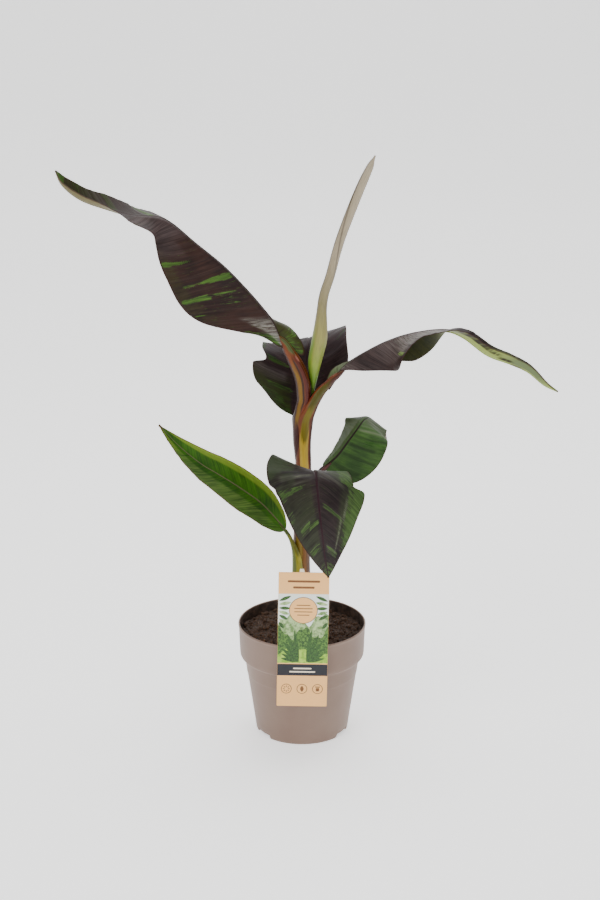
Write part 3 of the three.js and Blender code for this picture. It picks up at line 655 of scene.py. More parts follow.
def blade_side(leaf, route, s, side_name):
    """Middle surface, normals and fields of one half, from the midrib to the margin."""
    side = leaf[side_name]
    sign = 1 if side_name == "right" else -1
    columns = leaf["cells"][1]
    origin, forward, right, up = route.frames(leaf["heading"], keyed(leaf.get("roll", 0), s), s)
    width = half_width(leaf, side, s)[:, None]
    rib = (leaf["rib"][0] + (leaf["rib"][1] - leaf["rib"][0]) * s)[:, None]
    # columns crowd over the midrib, then spread evenly to the margin
    near = np.minimum(RIB_REACH * rib / width, 0.4)
    k = np.arange(columns + 1)[None, :]
    past_rib = (1 - near) * (k - RIB_COLUMNS) / (columns - RIB_COLUMNS)
    t = np.where(k <= RIB_COLUMNS, near * k / RIB_COLUMNS, near + past_rib)
    fold = np.radians(keyed(side.get("fold", 0), s))[:, None]
    curl = np.radians(keyed(side.get("curl", 0), s))[:, None]

    def angle(reach):
        return fold * smoothstep(0, 1, reach * width / CREASE) + curl * reach

    across, rise = np.zeros_like(t), np.zeros_like(t)
    for piece in range(SLICES):
        middle = angle((piece + 0.5) / SLICES * t)
        across += np.cos(middle) * width * t / SLICES
        rise += np.sin(middle) * width * t / SLICES
    ahead = keyed(side.get("sweep", 0), s)[:, None] * width * t ** 1.6
    lead = keyed(side["lead"], s)[:, None] * width * t ** 1.2
    points = (origin[:, None] + right[:, None] * (sign * across)[..., None]
              + up[:, None] * rise[..., None] + forward[:, None] * ahead[..., None])
    normals = (up[:, None] * np.cos(angle(t))[..., None]
               - right[:, None] * (sign * np.sin(angle(t)))[..., None])
    vein = s[:, None] * route.length - lead
    distance = t * width
    # soft pleats along the veins, and slow waves that grow towards the margin
    seed = leaf["look"]["seed"] + (0.5 if sign > 0 else 0)
    ends = smoothstep(0, 0.06, s)[:, None] * smoothstep(1, 0.92, s)[:, None]
    long, short = PLEAT_LENGTHS
    pleat = (soft_noise(vein / PLEAT_WIDTH, distance / long, seed)
             + 0.5 * soft_noise(2 * vein / PLEAT_WIDTH, distance / short, seed + 3))
    away = smoothstep(0.0, 1.0, distance / PLEAT_START)
    height, waves = leaf["wave"]
    swell = height * t ** 2 * soft_noise(s[:, None] * waves, 0.3 + 0.8 * t, seed + 7)
    points = points + normals * ((PLEAT_HEIGHT * pleat * away + swell) * ends)[..., None]
    share = vein / route.length
    fields = {
        "vein": vein * MM,
        "across": sign * distance * MM,
        "edge": (width - distance) * MM,
        "from_rib": np.minimum(distance / rib, 2),
        "pale": keyed(leaf["pale"], s)[:, None] + 0 * t,
    }
    for kind in MARK_KINDS:
        marks = leaf["marks"].get(kind, {}).get(side_name, [])
        fields[kind] = mark_field(marks, share, t)
    thick = HALF_THICK - EDGE_THINNING * t
    keel = KEEL * rib * np.sqrt(np.clip(1 - (distance / rib) ** 2, 0, 1))
    groove = GROOVE * rib * np.exp(-(distance / (0.42 * rib)) ** 2)
    top = points + normals * (thick - groove)[..., None]
    bottom = points - normals * (thick + keel)[..., None]
    return top, bottom, fields


def build_leaf(name, leaf):
    route = Route(leaf["midrib"])
    u = np.linspace(0, 1, leaf["cells"][0] + 1)
    s = u - 0.5 * np.sin(2 * np.pi * u) / (2 * np.pi)
    top_l, bottom_l, fields_l = blade_side(leaf, route, s, "left")
    top_r, bottom_r, fields_r = blade_side(leaf, route, s, "right")
    # one ring: left margin over the top to the right margin, and back underneath
    top = np.concatenate([top_l[:, ::-1], top_r[:, 1:]], 1)
    bottom = np.concatenate([bottom_r[:, ::-1], bottom_l[:, 1:]], 1)
    fields = {}
    for field in fields_l:
        over = np.concatenate([fields_l[field][:, ::-1], fields_r[field][:, 1:]], 1)
        fields[field] = np.concatenate([over, over[:, ::-1]], 1)
    count = top.shape[1]
    fields["under"] = np.concatenate([np.zeros((len(s), count)), np.ones((len(s), count))], 1)
    material = leaf_material(name + "_skin", {**DARK_LOOK, **leaf["look"]})
    obj = tube(name + "_blade", np.concatenate([top, bottom], 1), material, fields)
    place(obj, leaf["slot"], *leaf["nodes"])


for leaf_name, leaf_spec in LEAVES.items():
    build_leaf(leaf_name, leaf_spec)


# ---------------------------------------------------------------- stem and leaf stalks

def limb_rings(spec, rows, around):
    """Rings of a limb. shape(s, angle) gives the share of the radius; angle is 0 on the right
    and 90 on the upper side."""
    route = Route(spec["route"])
    s = np.linspace(0, 1, rows)
    origin, _, right, up = route.frames(spec["heading"], np.zeros(rows), s)
    # the rings run clockwise about the way forward, so that the faces point outward
    angle = -np.linspace(0, 2 * np.pi, around, endpoint=False)[None, :]
    radius = keyed(spec["radius"], s)[:, None] * spec["shape"](s[:, None], angle)
    sink = (keyed(spec.get("sink", 0), s) * keyed(spec["radius"], s))[:, None, None]
    flat = spec.get("flatness", 1)
    rings = (origin[:, None] - up[:, None] * sink
             + right[:, None] * (radius * np.cos(angle))[..., None]
             + up[:, None] * (flat * radius * np.sin(angle))[..., None])
    return rings, s, angle, route.length


def turn_gap(angle, at):
    """Signed angle from at, from -pi to pi."""
    return (angle - at + np.pi) % (2 * np.pi) - np.pi


def channel(depth, start=-0.25, crease=None):
    """A stalk's section: round, with a groove between two low margins on its upper side. The
    groove deepens from the start share of the length. A crease is (angle, depth, from, to)."""
    def shape(s, angle):
        gap = np.abs(turn_gap(angle, np.pi / 2))
        deep = smoothstep(start, start + 0.25, s)
        groove = depth * np.exp(-(gap / 0.5) ** 2) - 0.1 * np.exp(-((gap - 0.95) / 0.25) ** 2)
        section = 1 - deep * groove
        if crease:
            at, cut, low, high = crease
            ends = smoothstep(low, low + 0.08, s) * smoothstep(high, high - 0.08, s)
            section = section - cut * ends * np.exp(-(turn_gap(angle, math.radians(at)) / 0.14) ** 2)
        return section
    return shape


# The stem's sheaths: (angle of the margin at the foot, its drift up to the fork, height), with
# angles in radians and the height as a share of the radius.
SHEATHS = ((-1.95, 0.9, 0.07), (-0.6, -0.7, 0.055), (1.6, 0.5, 0.06), (2.9, -0.6, 0.05))
SHEATH_SPAN = 2.4  # angle over which a margin fades into the stem


def sheaths(s, angle):
    """The stem's section: wrapped sheaths, each with a thin margin that stands a little proud."""
    total = 1 + 0 * s * angle
    for start, drift, height in SHEATHS:
        gap = turn_gap(angle, start + drift * s) % (2 * np.pi)
        fade = (1 - gap / SHEATH_SPAN) * (gap < SHEATH_SPAN)
        total = total + height * fade * smoothstep(0, 0.10, gap)
    return total - 0.04


PINK = rgb(134, 56, 46)
RUST = (rgb(84, 34, 12), rgb(112, 56, 18))
BLOOD = rgb(54, 12, 9)

# Stripes along a limb are (colour, angle at its foot, angle at its tip, half width, share of length
# where it starts, the same where it ends), with angles in degrees.
LIMBS = {
    "pseudostem": dict(
        slot="stem", heading=-90, cells=(300, 120),
        shape=sheaths, body=(rgb(66, 36, 10), rgb(98, 62, 18)),
        route=[(0, 0, 142.3), (0, 0, 175), (-1, 0, 245), (1, 0, 327), (2, 0, 390), (2, 0, 418)],
        radius=[(0, 15.5), (0.1, 13), (0.35, 11.3), (0.7, 9.8), (0.8, 8.9), (1, 8.6)],
        stripes=[(rgb(112, 92, 24), 290, 285, 26, 0, 0.7), (rgb(112, 72, 20), 240, 250, 12, 0, 0.7),
            (BLOOD, 10, 0, 34, 0, 1), (BLOOD, 180, 180, 30, 0, 1)]),
    "petiole_left": dict(
        slot="petiole", heading=170, cells=(240, 96),
        shape=channel(0.45, 0.35, (174, 0.12, 0.38, 0.78)), body=RUST,
        route=[(-2, -1, 385), (-3.2, -3, 412), (-3.4, -4.5, 440), (-1, -5, 457), (1.3, -5.5, 468),
            (0.9, -6, 481.6), (-0.6, -6.5, 495), (-5, -7, 508.6), (-10.5, -7.5, 520.7),
            (-14.5, -7.5, 528.8), (-17.8, -8, 535), (-21, -8, 542), (-24.5, -8.5, 549),
            (-33, -11, 561)],
        radius=[(0, 7.5), (0.15, 8.9), (0.3, 9.2), (0.39, 9), (0.45, 9.4), (0.525, 10.2), (0.6, 10.4),
            (0.68, 10), (0.75, 9.2), (0.8, 8), (0.84, 6.9), (0.88, 5.9), (0.92, 5), (1, 2.4)],
        sink=[(0, 0), (0.86, 0), (1, 1.1)],
        stripes=[(rgb(112, 80, 2), 204, 206, 26, 0.2, 0.72), (rgb(74, 22, 9), 122, 122, 40, 0.4, 0.8),
            # the pale pink stripe at 116 degrees is a painted highlight on the top of the channel
            (rgb(50, 22, 6), 178, 168, 8, 0.38, 0.78), (rgb(160, 96, 84), 116, 116, 28, 0.74, 0.79),
            (rgb(70, 80, 42), 112, 112, 52, 0.8, 0.95), (rgb(38, 9, 6), 258, 250, 40, -0.2, 1),
            (BLOOD, 220, 220, 52, -0.2, 0.29)]),
    "petiole_right": dict(
        slot="petiole", heading=-5, cells=(240, 96),
        shape=channel(0.45, 0.6), body=RUST,
        route=[(2.1, -1, 336), (2.1, -1.5, 386), (2.2, -2, 400), (2.6, -3, 414), (3.9, -4.5, 430),
            (5.6, -6.5, 443), (10, -9, 454), (16, -8.5, 466), (24, -7, 479), (33, -5, 488.5),
            (43, -4.5, 501), (52, -5.5, 510)],
        radius=[(0, 10.1), (0.255, 10.5), (0.33, 10.4), (0.4, 10.6), (0.49, 11.1), (0.56, 11.2),
            (0.624, 9.6), (0.695, 8), (0.777, 7), (0.846, 5.5), (0.93, 4.2), (1, 2.4)],
        sink=[(0, 0), (0.88, 0), (1, 1.1)],
        stripes=[(rgb(178, 148, 46), -12, -12, 32, 0, 0.52),
            (rgb(104, 92, 12), -10, -14, 26, 0.4, 0.72), (rgb(70, 66, 14), -6, -10, 40, 0.66, 0.92),
            (PINK, 58, 74, 22, 0.34, 0.88), (BLOOD, -98, -88, 38, 0, 1),
            (rgb(62, 24, 10), -40, -40, 60, 0.84, 1.1)]),
    "petiole_back": dict(
        slot="petiole", heading=90, cells=(90, 60),
        shape=channel(0.35), body=(rgb(26, 9, 11), rgb(46, 17, 17)),
        route=[(0, 2, 322), (-1, 6, 366), (-4, 10, 400), (-7, 15, 424), (-8, 20, 436), (-5, 24, 447)],
        radius=[(0, 3.5), (0.35, 6.5), (0.9, 5), (1, 2.6)],
        sink=[(0, 0), (0.87, 0), (1, 1.1)],
        stripes=[(rgb(84, 34, 28), 60, 60, 14, 0, 1)]),
    "petiole_front": dict(
        slot="petiole", heading=-90, cells=(80, 60),
        shape=channel(0.35), body=(rgb(58, 26, 22), rgb(86, 44, 32)),
        route=[(1, -3, 326), (4, -22, 355), (9, -36, 371), (12, -47, 382)],
        radius=[(0, 6.5), (0.8, 4), (1, 2.2)],
        sink=[(0, 0), (0.75, 0), (1, 1.1)],
        stripes=[(rgb(104, 44, 46), 35, 35, 14, 0, 1), (rgb(104, 44, 46), 145, 145, 14, 0, 1)]),
    "petiole_low_right": dict(
        slot="petiole", heading=30, cells=(80, 60),
        shape=channel(0.35), body=(rgb(40, 22, 18), rgb(66, 40, 28)),
        route=[(6, 3, 324), (16, 4, 349), (29, 6, 370), (37, 9, 377)],
        radius=[(0, 6.5), (0.8, 4), (1, 2.2)],
        sink=[(0, 0), (0.75, 0), (1, 1.1)],
        stripes=[(rgb(84, 38, 36), 35, 35, 14, 0, 1), (rgb(84, 38, 36), 145, 145, 14, 0, 1)]),
    "petiole_small": dict(
        slot="petiole", heading=190, cells=(160, 60),
        shape=channel(0.3), body=(rgb(112, 114, 26), rgb(150, 142, 40)),
        route=[(-6, -6, 190), (-7, -8, 245), (-14, -12, 274), (-22, -14, 290), (-30, -15, 301)],
        radius=[(0, 8), (0.45, 7), (0.72, 3.2), (0.9, 2.6), (1, 1.6)],
        sink=[(0, 0), (0.85, 0), (1, 1.1)],
        stripes=[(rgb(48, 64, 14), 120, 120, 120, 0.8, 1.2), (rgb(84, 84, 18), 120, 120, 90, 0.55, 0.8),
            (rgb(126, 66, 24), 100, 120, 14, 0, 0.5), (rgb(78, 90, 18), 235, 235, 30, 0, 1)]),
}


def stripe_field(stripe, s, angle):
    """How strongly a stripe covers each place of a limb, from 0 to 1."""
    _, foot, tip, half, start, end = stripe
    middle = np.radians(foot + (tip - foot) * s)[:, None]
    half = math.radians(half)
    soft = 0.5 * min(0.2, end - start)
    ends = smoothstep(start - soft, start + soft, s) * smoothstep(end + soft, end - soft, s)
    return ends[:, None] * smoothstep(1.5 * half, 0.5 * half, np.abs(turn_gap(angle, middle)))


def stalk_material(name, body, colours, seed):
    """A stalk: its body colour and its stripes (one of them, on the left stalk, a painted highlight),
    with fine lines along it.
    """
    m = Shader(name)
    along = m.field("along")
    side, front = m.field("side"), m.field("front")
    lines = m.noise(m.vector(m.add(m.times(along, 0.04), seed), side, front), 800, 3)
    patches = m.noise(m.vector(m.add(m.times(along, 0.3), seed), side, front), 150, 3)
    colour = m.ramp(patches, (0.36, body[0]), (0.64, body[1]))
    rough = m.add(m.math("SUBTRACT", lines, 0.5), m.math("SUBTRACT", patches, 0.5))
    for k, stripe_colour in enumerate(colours):
        reach = m.add(m.field(f"stripe{k}"), m.times(rough, 0.8))
        colour = m.mix(m.step(reach, 0.25, 0.8), colour, stripe_colour)
    colour = m.mix(m.times(m.step(lines, 0.52, 0.7), 0.35), colour, body[0])
    m.coat(colour, patches, 0.2, 0.30, 0.28)
    m.bump(lines, 0.0005, 0.5)
    return m.material


def skin_fields(s, angle, length, radius):
    """Places on a limb's skin, in metres: along it, to its side and to its front."""
    return {
        "along": (s[:, None] * length + 0 * angle) * MM,
        "side": np.cos(angle) * radius * MM,
        "front": np.sin(angle) * radius * MM,
    }


def build_limb(name, spec, seed):
    rings, s, angle, length = limb_rings(spec, *spec["cells"])
    fields = skin_fields(s, angle, length, keyed(spec["radius"], s)[:, None])
    for k, stripe in enumerate(spec["stripes"]):
        fields[f"stripe{k}"] = stripe_field(stripe, s, angle)
    colours = [stripe[0] for stripe in spec["stripes"]]
    material = stalk_material(name + "_skin", spec["body"], colours, seed)
    place(tube(name + "_stalk", rings, material, fields), spec["slot"], name)


for limb_number, (limb_name, limb_spec) in enumerate(LIMBS.items()):
    build_limb(limb_name, limb_spec, 0.37 * limb_number)


# ---------------------------------------------------------------- furled leaf

FURLED_OVERLAP = 1.1  # height of the outer margin over the roll
FURLED = {
    "heading": 0, "flatness": 0.75,
    "route": [(6, 1, 418), (11, 0, 450), (14, 0, 479), (16, 0, 516), (23, 2, 551),
              (27, 4, 599), (36.3, 6, 631), (48.5, 8, 676), (69, 8, 732), (86, 8, 772),
              (92, 8, 785)],
    "radius": [(0, 3.2), (0.13, 2.6), (0.165, 2.8), (0.215, 7.4), (0.26, 11), (0.31, 12.4),
               (0.355, 12.8), (0.4, 10.8), (0.45, 8.6), (0.6, 7.9), (0.7, 7.8), (0.85, 7.6),
               (0.96, 5.6), (1, 1)],
}
FURLED_CELLS = (300, 96)
FURLED_EDGE = [(0, -2.2), (0.3, -1.5), (0.5, -0.95), (0.58, -0.75), (0.8, 0.9), (1, 2.0)]


def furled_edge(s):
    """Angle of the outer margin of the roll, which winds slowly up the leaf."""
    return keyed(FURLED_EDGE, s)


def roll_section(s, angle):
    gap = turn_gap(angle, furled_edge(s)) % (2 * np.pi)
    radius = keyed(FURLED["radius"], s)
    lift = FURLED_OVERLAP / radius * (1 - gap / (2 * np.pi)) * smoothstep(0, 0.12, gap)
    return 1 - 0.3 * FURLED_OVERLAP / radius + lift


def furled_material():
    m = Shader("furled_skin")
    along = m.field("along")
    side, front = m.field("side"), m.field("front")
    slant = m.add(side, m.times(along, 0.10))
    lines = m.noise(m.vector(m.times(along, 0.05), slant, front), 900, 3)
    broad = m.noise(m.vector(m.times(along, 0.2), slant, front), 150, 3)
    share = m.add(m.field("share"), m.times(m.math("SUBTRACT", broad, 0.5), 0.10))
    colour = m.ramp(share, (0.0, rgb(66, 104, 22)), (0.19, rgb(82, 122, 28)),
                    (0.26, rgb(124, 142, 44)), (0.36, rgb(146, 140, 78)),
                    (0.46, rgb(134, 124, 86)), (0.64, rgb(160, 146, 122)), (1.0, rgb(164, 151, 128)))
    colour = m.mix(m.times(m.step(lines, 0.48, 0.72), 0.4), colour, rgb(88, 84, 56))
    colour = m.mix(m.times(m.field("edge"), 0.7), colour, rgb(72, 62, 50))
    # painted shade along the left and right sides of the roll
    colour = m.mix(m.times(m.field("painted_side_shade"), 0.7), colour, rgb(66, 54, 40))
    colour = m.mix(m.times(m.field("rim"), 0.6), colour, rgb(88, 140, 44))
    m.coat(colour, broad, 0.2, 0.36, 0.35)
    m.bump(lines, 0.0005, 0.5)
    return m.material


def build_furled():
    spec = {**FURLED, "shape": roll_section}
    rings, s, angle, length = limb_rings(spec, *FURLED_CELLS)
    fields = skin_fields(s, angle, length, keyed(FURLED["radius"], s)[:, None])
    gap = turn_gap(angle, furled_edge(s)[:, None])
    fields["share"] = s[:, None] + 0 * angle
    fields["edge"] = smoothstep(0.3, 0.0, np.abs(gap))
    # the upper part is painted darker along its left and right sides, as shade where the roll turns
    # away
    painted_side_shade = smoothstep(0.62, 0.28, np.abs(np.abs(turn_gap(angle, 0)) - np.pi / 2 + 0.1))
    fields["painted_side_shade"] = painted_side_shade * smoothstep(0.36, 0.46, s)[:, None]
    low = smoothstep(0.15, 0.2, s) * smoothstep(0.42, 0.3, s)
    fields["rim"] = low[:, None] * smoothstep(0.9, 0.4, np.abs(turn_gap(angle, 1.35)))
    obj = tube("furled_blade", rings, furled_material(), fields)
    place(obj, "furled_leaf", "leaf_furled")


build_furled()


# ---------------------------------------------------------------- pot

POT_PROFILE = [  # (radius, height) from the centre of the underside, out, up and down inside
    (0.01, 2.5), (30, 2.5), (50, 2.5), (53, 0.8), (54, 0.2), (56, 0), (60, 0), (61.4, 0.4),
    (62.1, 1.6), (62.8, 6), (64, 15), (66, 29), (68, 43), (70, 57), (72, 70.5), (73.6, 81.5),
    (73.9, 83), (74.35, 83.8), (74.5, 85), (75.4, 92), (76.4, 99), (76.9, 102), (77.3, 104),
    (79.0, 105.8), (81.2, 107.2), (82.6, 108.3), (83.3, 110), (83.6, 114), (84, 124),
    (84.5, 137), (84.9, 148.4), (85.0, 149.6), (85.45, 150.2), (85.6, 151.2), (85.5, 152.3),
    (85.1, 152.85), (84.5, 153), (84.0, 152.9), (83.5, 152.4), (83.3, 151.5), (83.1, 146),
    (82.6, 135), (81.9, 115), (81.2, 110), (78, 106), (75.5, 103), (73, 86), (60.5, 6),
    (60, 5), (30, 5), (0.01, 5),
]
NOTCHES = 3
NOTCH_WIDTH = 30
NOTCH_HEIGHT = 5
NOTCH_AZIMUTH = 92  # of the first one, in degrees
NOTCH_SOFT = 0.8  # half the width of the slope at a notch's side
FOOT_RADIUS = 62
INNER_ROWS = 5  # of the profile, from the floor inside to the axis
OUTER_ROWS = 39  # of the profile, from the axis below to just inside the rim
POT_SEGMENTS = 240


def build_pot():
    profile = np.array(POT_PROFILE)
    turn = np.linspace(0, 2 * np.pi, POT_SEGMENTS, endpoint=False)
    radius, height = profile.T[:, :, None] + 0 * turn
    rise = np.zeros(POT_SEGMENTS)
    for i in range(NOTCHES):
        middle = math.radians(NOTCH_AZIMUTH + 360 * i / NOTCHES)
        off = np.abs(turn_gap(turn, middle)) * FOOT_RADIUS - NOTCH_WIDTH / 2
        rise = np.maximum(rise, smoothstep(NOTCH_SOFT, -NOTCH_SOFT, off))
    # the foot is lifted at the notches; the inner floor stays where it is
    outside = np.arange(len(profile)) < len(profile) - INNER_ROWS
    foot = (outside & (profile[:, 1] < NOTCH_HEIGHT) & (profile[:, 0] > 45))[:, None]
    height = np.where(foot, np.maximum(height, NOTCH_HEIGHT * rise[None, :]), height)
    rings = np.stack([radius * np.cos(turn), radius * np.sin(turn), height], -1)
    m = Shader("pot_plastic")
    speckle = m.noise(m.place(), 900, 3, 0.6)
    cloud = m.noise(m.place(), 14, 3)
    colour = m.ramp(cloud, (0.3, rgb(119, 95, 81)), (0.7, rgb(129, 106, 92)))
    colour = m.mix(m.times(m.step(speckle, 0.5, 0.8), 0.25), colour, rgb(142, 120, 106))
    # the inner wall above the soil is painted dark brown as shade, with darker blotches over it
    inner_blotches = m.times(m.field("inside"), m.step(m.noise(m.place(), 120, 5, 0.7), 0.3, 0.6))
    colour = m.mix(m.times(m.field("inside"), 0.6), colour, rgb(44, 34, 28))
    colour = m.mix(m.times(inner_blotches, 0.8), colour, rgb(30, 21, 16))
    m.coat(colour, speckle, 0.16, 0.42)
    m.bump(m.add(speckle, m.times(cloud, 2.0)), 0.0002, 0.35)
    inner = (np.arange(len(profile)) >= OUTER_ROWS).astype(float)[:, None] + 0 * turn
    obj = tube("pot_shell", rings, m.material, {"inside": inner})
    place(obj, "pot", "pot")


build_pot()


# ---------------------------------------------------------------- soil

SOIL_RADIUS = 81.4
SOIL_LEVEL = 139.4  # at the rim
SOIL_CROWN = 2.4
SOIL_LUMPS = ((1.3, 16), (1.0, 7), (0.9, 3.2), (0.5, 1.5))  # (height, width) of each size of lump
SOIL_WALL = [(59.5, 5.4), (74.6, 104), (80.6, 111)]  # (radius, height) below the surface
SOIL_RINGS = 110
SOIL_SEGMENTS = 300


def soil_height(x, y):
    """Height of the soil: a low crown that falls towards the rim, and lumps of several sizes."""
    lumps = sum(height * soft_noise(x / width, y / width, seed + 1)
                for seed, (height, width) in enumerate(SOIL_LUMPS))
    return SOIL_LEVEL + SOIL_CROWN * smoothstep(SOIL_RADIUS, 10, np.hypot(x, y)) + lumps


def soil_material(name, dark, light, fibre):
    m = Shader(name)
    grain = m.noise(m.place(), 420, 5, 0.7)
    clump = m.noise(m.place(), 90, 4, 0.6)
    colour = m.ramp(grain, (0.3, dark), (0.72, light))
    colour = m.mix(m.step(clump, 0.62, 0.74), colour, fibre)
    specks = m.noise(m.place(), 1100, 2, 0.6)
    colour = m.mix(m.times(m.step(specks, 0.56, 0.66), 0.7), colour, fibre)
    m.coat(colour, grain, 0.25, 0.72)
    m.bump(grain, 0.0012, 0.8)
    return m.material


def build_soil():
    reach = SOIL_RADIUS * np.linspace(0.002, 1, SOIL_RINGS)[::-1]
    turn = np.linspace(0, 2 * np.pi, SOIL_SEGMENTS, endpoint=False)
    x, y = reach[:, None] * np.cos(turn), reach[:, None] * np.sin(turn)
    top = np.stack([x, y, soil_height(x, y)], -1)
    lower = [np.stack([r * np.cos(turn), r * np.sin(turn), z + 0 * turn], -1) for r, z in SOIL_WALL]
    rings = np.concatenate([np.array(lower), top], 0)
    material = soil_material("soil_peat", rgb(22, 13, 7), rgb(62, 40, 24), rgb(104, 68, 40))
    place(tube("soil_bed", rings, material), "soil", "soil")


build_soil()
random = np.random.default_rng(474)
CRUMB_REACH = 79  # how far from the axis crumbs and fibres lie
FIBRE_REACH = 78
FIBRE_SIDES = 5
FIBRE_STEPS = 9
FIBRE_LENGTHS = (5, 20)
FIBRE_WIDTHS = (0.2, 0.45)


def scatter_crumbs(name, count, sizes, material, sink):
    """Irregular lumps lying on the soil, joined in one mesh."""
    bpy.ops.mesh.primitive_ico_sphere_add(subdivisions=2, radius=1)
    seed_ball = bpy.context.object
    ball = np.array([v.co for v in seed_ball.data.vertices])
    ball_faces = np.array([p.vertices for p in seed_ball.data.polygons])
    bpy.data.objects.remove(seed_ball)
    points, faces = [], []
    for i in range(count):
        reach = CRUMB_REACH * math.sqrt(random.uniform(0.03, 1))
        turn = random.uniform(0, 2 * math.pi)
        x, y = reach * math.cos(turn), reach * math.sin(turn)
        size = sizes[0] * (sizes[1] / sizes[0]) ** random.uniform(0, 1) ** 1.6
        stretch = random.uniform(0.55, 1.5, 3)
        rough = 1 + 0.35 * soft_noise(ball[:, 0] * 2 + i, ball[:, 1] * 2 + ball[:, 2] * 1.7, i)
        lump = ball * rough[:, None] * stretch * size
        spin = random.normal(size=(3, 3))
        axes, _ = np.linalg.qr(spin)
        lump = lump @ axes.T
        faces.append(ball_faces + len(ball) * i)
        points.append(lump + [x, y, float(soil_height(x, y)) + size * sink])
    obj = link_mesh(name, np.vstack(points), np.vstack(faces).tolist(), [material])
    place(obj, "soil")


def scatter_fibres(name, count, material):
    """Thin curved threads of peat and bark."""
    sides, steps = FIBRE_SIDES, FIBRE_STEPS
    points, faces = [], []
    index, _, walls = ring_faces(steps, sides)
    turn = np.linspace(0, 2 * np.pi, sides, endpoint=False)
    for i in range(count):
        reach = FIBRE_REACH * math.sqrt(random.uniform(0.03, 1))
        start = random.uniform(0, 2 * math.pi)
        heading = random.uniform(0, 2 * math.pi)
        bend = random.normal() * 0.12
        length = random.uniform(*FIBRE_LENGTHS)
        width = random.uniform(*FIBRE_WIDTHS)
        heads = heading + bend * np.arange(steps)
        x = reach * math.cos(start) + np.cumsum(np.cos(heads)) * length / steps
        y = reach * math.sin(start) + np.cumsum(np.sin(heads)) * length / steps
        if (np.hypot(x, y) > 80).any():
            x, y = x * 0.9, y * 0.9
        z = soil_height(x, y) + 0.6 + random.uniform(0, 1.6) * np.sin(np.linspace(0, np.pi, steps))
        taper = width * np.sin(np.linspace(0.35, np.pi - 0.35, steps))
        across = np.stack([-np.sin(heads), np.cos(heads), 0 * heads], -1)
        ring = (np.stack([x, y, z], -1)[:, None]
                + across[:, None] * (taper[:, None] * np.cos(turn))[..., None]
                + np.array([0, 0, 1.0]) * (taper[:, None] * np.sin(turn))[..., None])
        points.append(ring.reshape(-1, 3))
        offset = sides * steps * i
        faces += (walls + offset).tolist()
        faces.append((index[0][::-1] + offset).tolist())
        faces.append((index[-1] + offset).tolist())
    obj = link_mesh(name, np.vstack(points), faces, [material])
    place(obj, "soil")


scatter_crumbs("soil_crumbs", 700, (0.7, 3.2),
               soil_material("soil_crumb", rgb(26, 15, 8), rgb(76, 50, 30), rgb(116, 76, 44)), 0.35)
scatter_fibres("soil_fibres", 240,
               soil_material("soil_fibre", rgb(56, 36, 22), rgb(104, 68, 40), rgb(84, 54, 32)))


# ---------------------------------------------------------------- plant label

CARD = {"width": 66, "height": 190, "thick": 0.9, "bottom": 69.5, "front": -88, "middle": 1,
        "lean": 1}
PRINT = 0.06  # how far the lowest printed zones stand proud of the card
PICTURE_FOOT = 62  # heights of the picture zone on the card
PICTURE_TOP = 160
INSET = 0.15  # of the printed zones from the card's margin
BAND = (44, 60.5)  # foot and top of the dark band
BADGE_HEIGHT = 137
BADGE_RADII = (18.6, 17.8)  # of a disc's rim and of its face
ICON_HEIGHT = 25
ICON_SPACING = 20.5
ICON_RADII = (7.0, 6.1)
RIDGE_STEPS = 24
LEAFLET_STEPS = 10


def card_point(x, z, depth):
    """A point of the card: x from its middle, z from its foot, depth behind its face."""
    lean = math.radians(CARD["lean"])
    up = z - CARD["height"] / 2
    px = CARD["middle"] + x * math.cos(lean) + up * math.sin(lean)
    pz = CARD["bottom"] + CARD["height"] / 2 + up * math.cos(lean) - x * math.sin(lean)
    return (px, CARD["front"] + depth, pz)


class Print:
    """Collects flat shapes on the card as thin closed plates, one material each."""

    def __init__(self):
        self.points, self.faces, self.slots, self.materials = [], [], [], []

    def slot(self, material):
        if material not in self.materials:
            self.materials.append(material)
        return self.materials.index(material)

    def add(self, outline, material, level, sunk=PRINT, rear=None):
        """outline is (x, z) points in order. The plate stands level prints proud of the card and
        reaches sunk behind its face; its rear may have another material."""
        base = len(self.points)
        count = len(outline)
        self.points += [card_point(x, z, -level * PRINT) for x, z in outline]
        self.points += [card_point(x, z, sunk) for x, z in outline]
        walls = [(base + (i + 1) % count, base + i, base + count + i, base + count + (i + 1) % count)
                 for i in range(count)]
        self.faces += [[base + count + i for i in reversed(range(count))],
                       [base + i for i in range(count)]] + walls
        self.slots += [self.slot(rear or material)] + [self.slot(material)] * (count + 1)

    def build(self, name):
        obj = link_mesh(name, self.points, self.faces, self.materials, smooth=False)
        obj.data.polygons.foreach_set("material_index", self.slots)
        return obj


def rounded(x0, z0, x1, z1, radius, steps=6):
    corners = [(x1 - radius, z1 - radius, 0), (x0 + radius, z1 - radius, 90),
               (x0 + radius, z0 + radius, 180), (x1 - radius, z0 + radius, 270)]
    return [(cx + radius * math.cos(math.radians(a + 90 * k / steps)),
             cz + radius * math.sin(math.radians(a + 90 * k / steps)))
            for cx, cz, a in corners for k in range(steps + 1)]


def disc(x, z, radius, steps=40):
    turns = [2 * math.pi * k / steps for k in range(steps)]
    return [(x + radius * math.cos(turn), z + radius * math.sin(turn)) for turn in turns]


def leaflet(x, z, length, width, turn):
    """A pointed oval from its foot at (x, z)."""
    along = [k / LEAFLET_STEPS for k in range(LEAFLET_STEPS + 1)]
    half = [(length * share, width / 2 * math.sin(math.pi * share) ** 0.8) for share in along]
    loop = [(a, -b) for a, b in half] + [(a, b) for a, b in reversed(half[1:-1])]
    c, s = math.cos(math.radians(turn)), math.sin(math.radians(turn))
    return [(x + a * c - b * s, z + a * s + b * c) for a, b in loop]


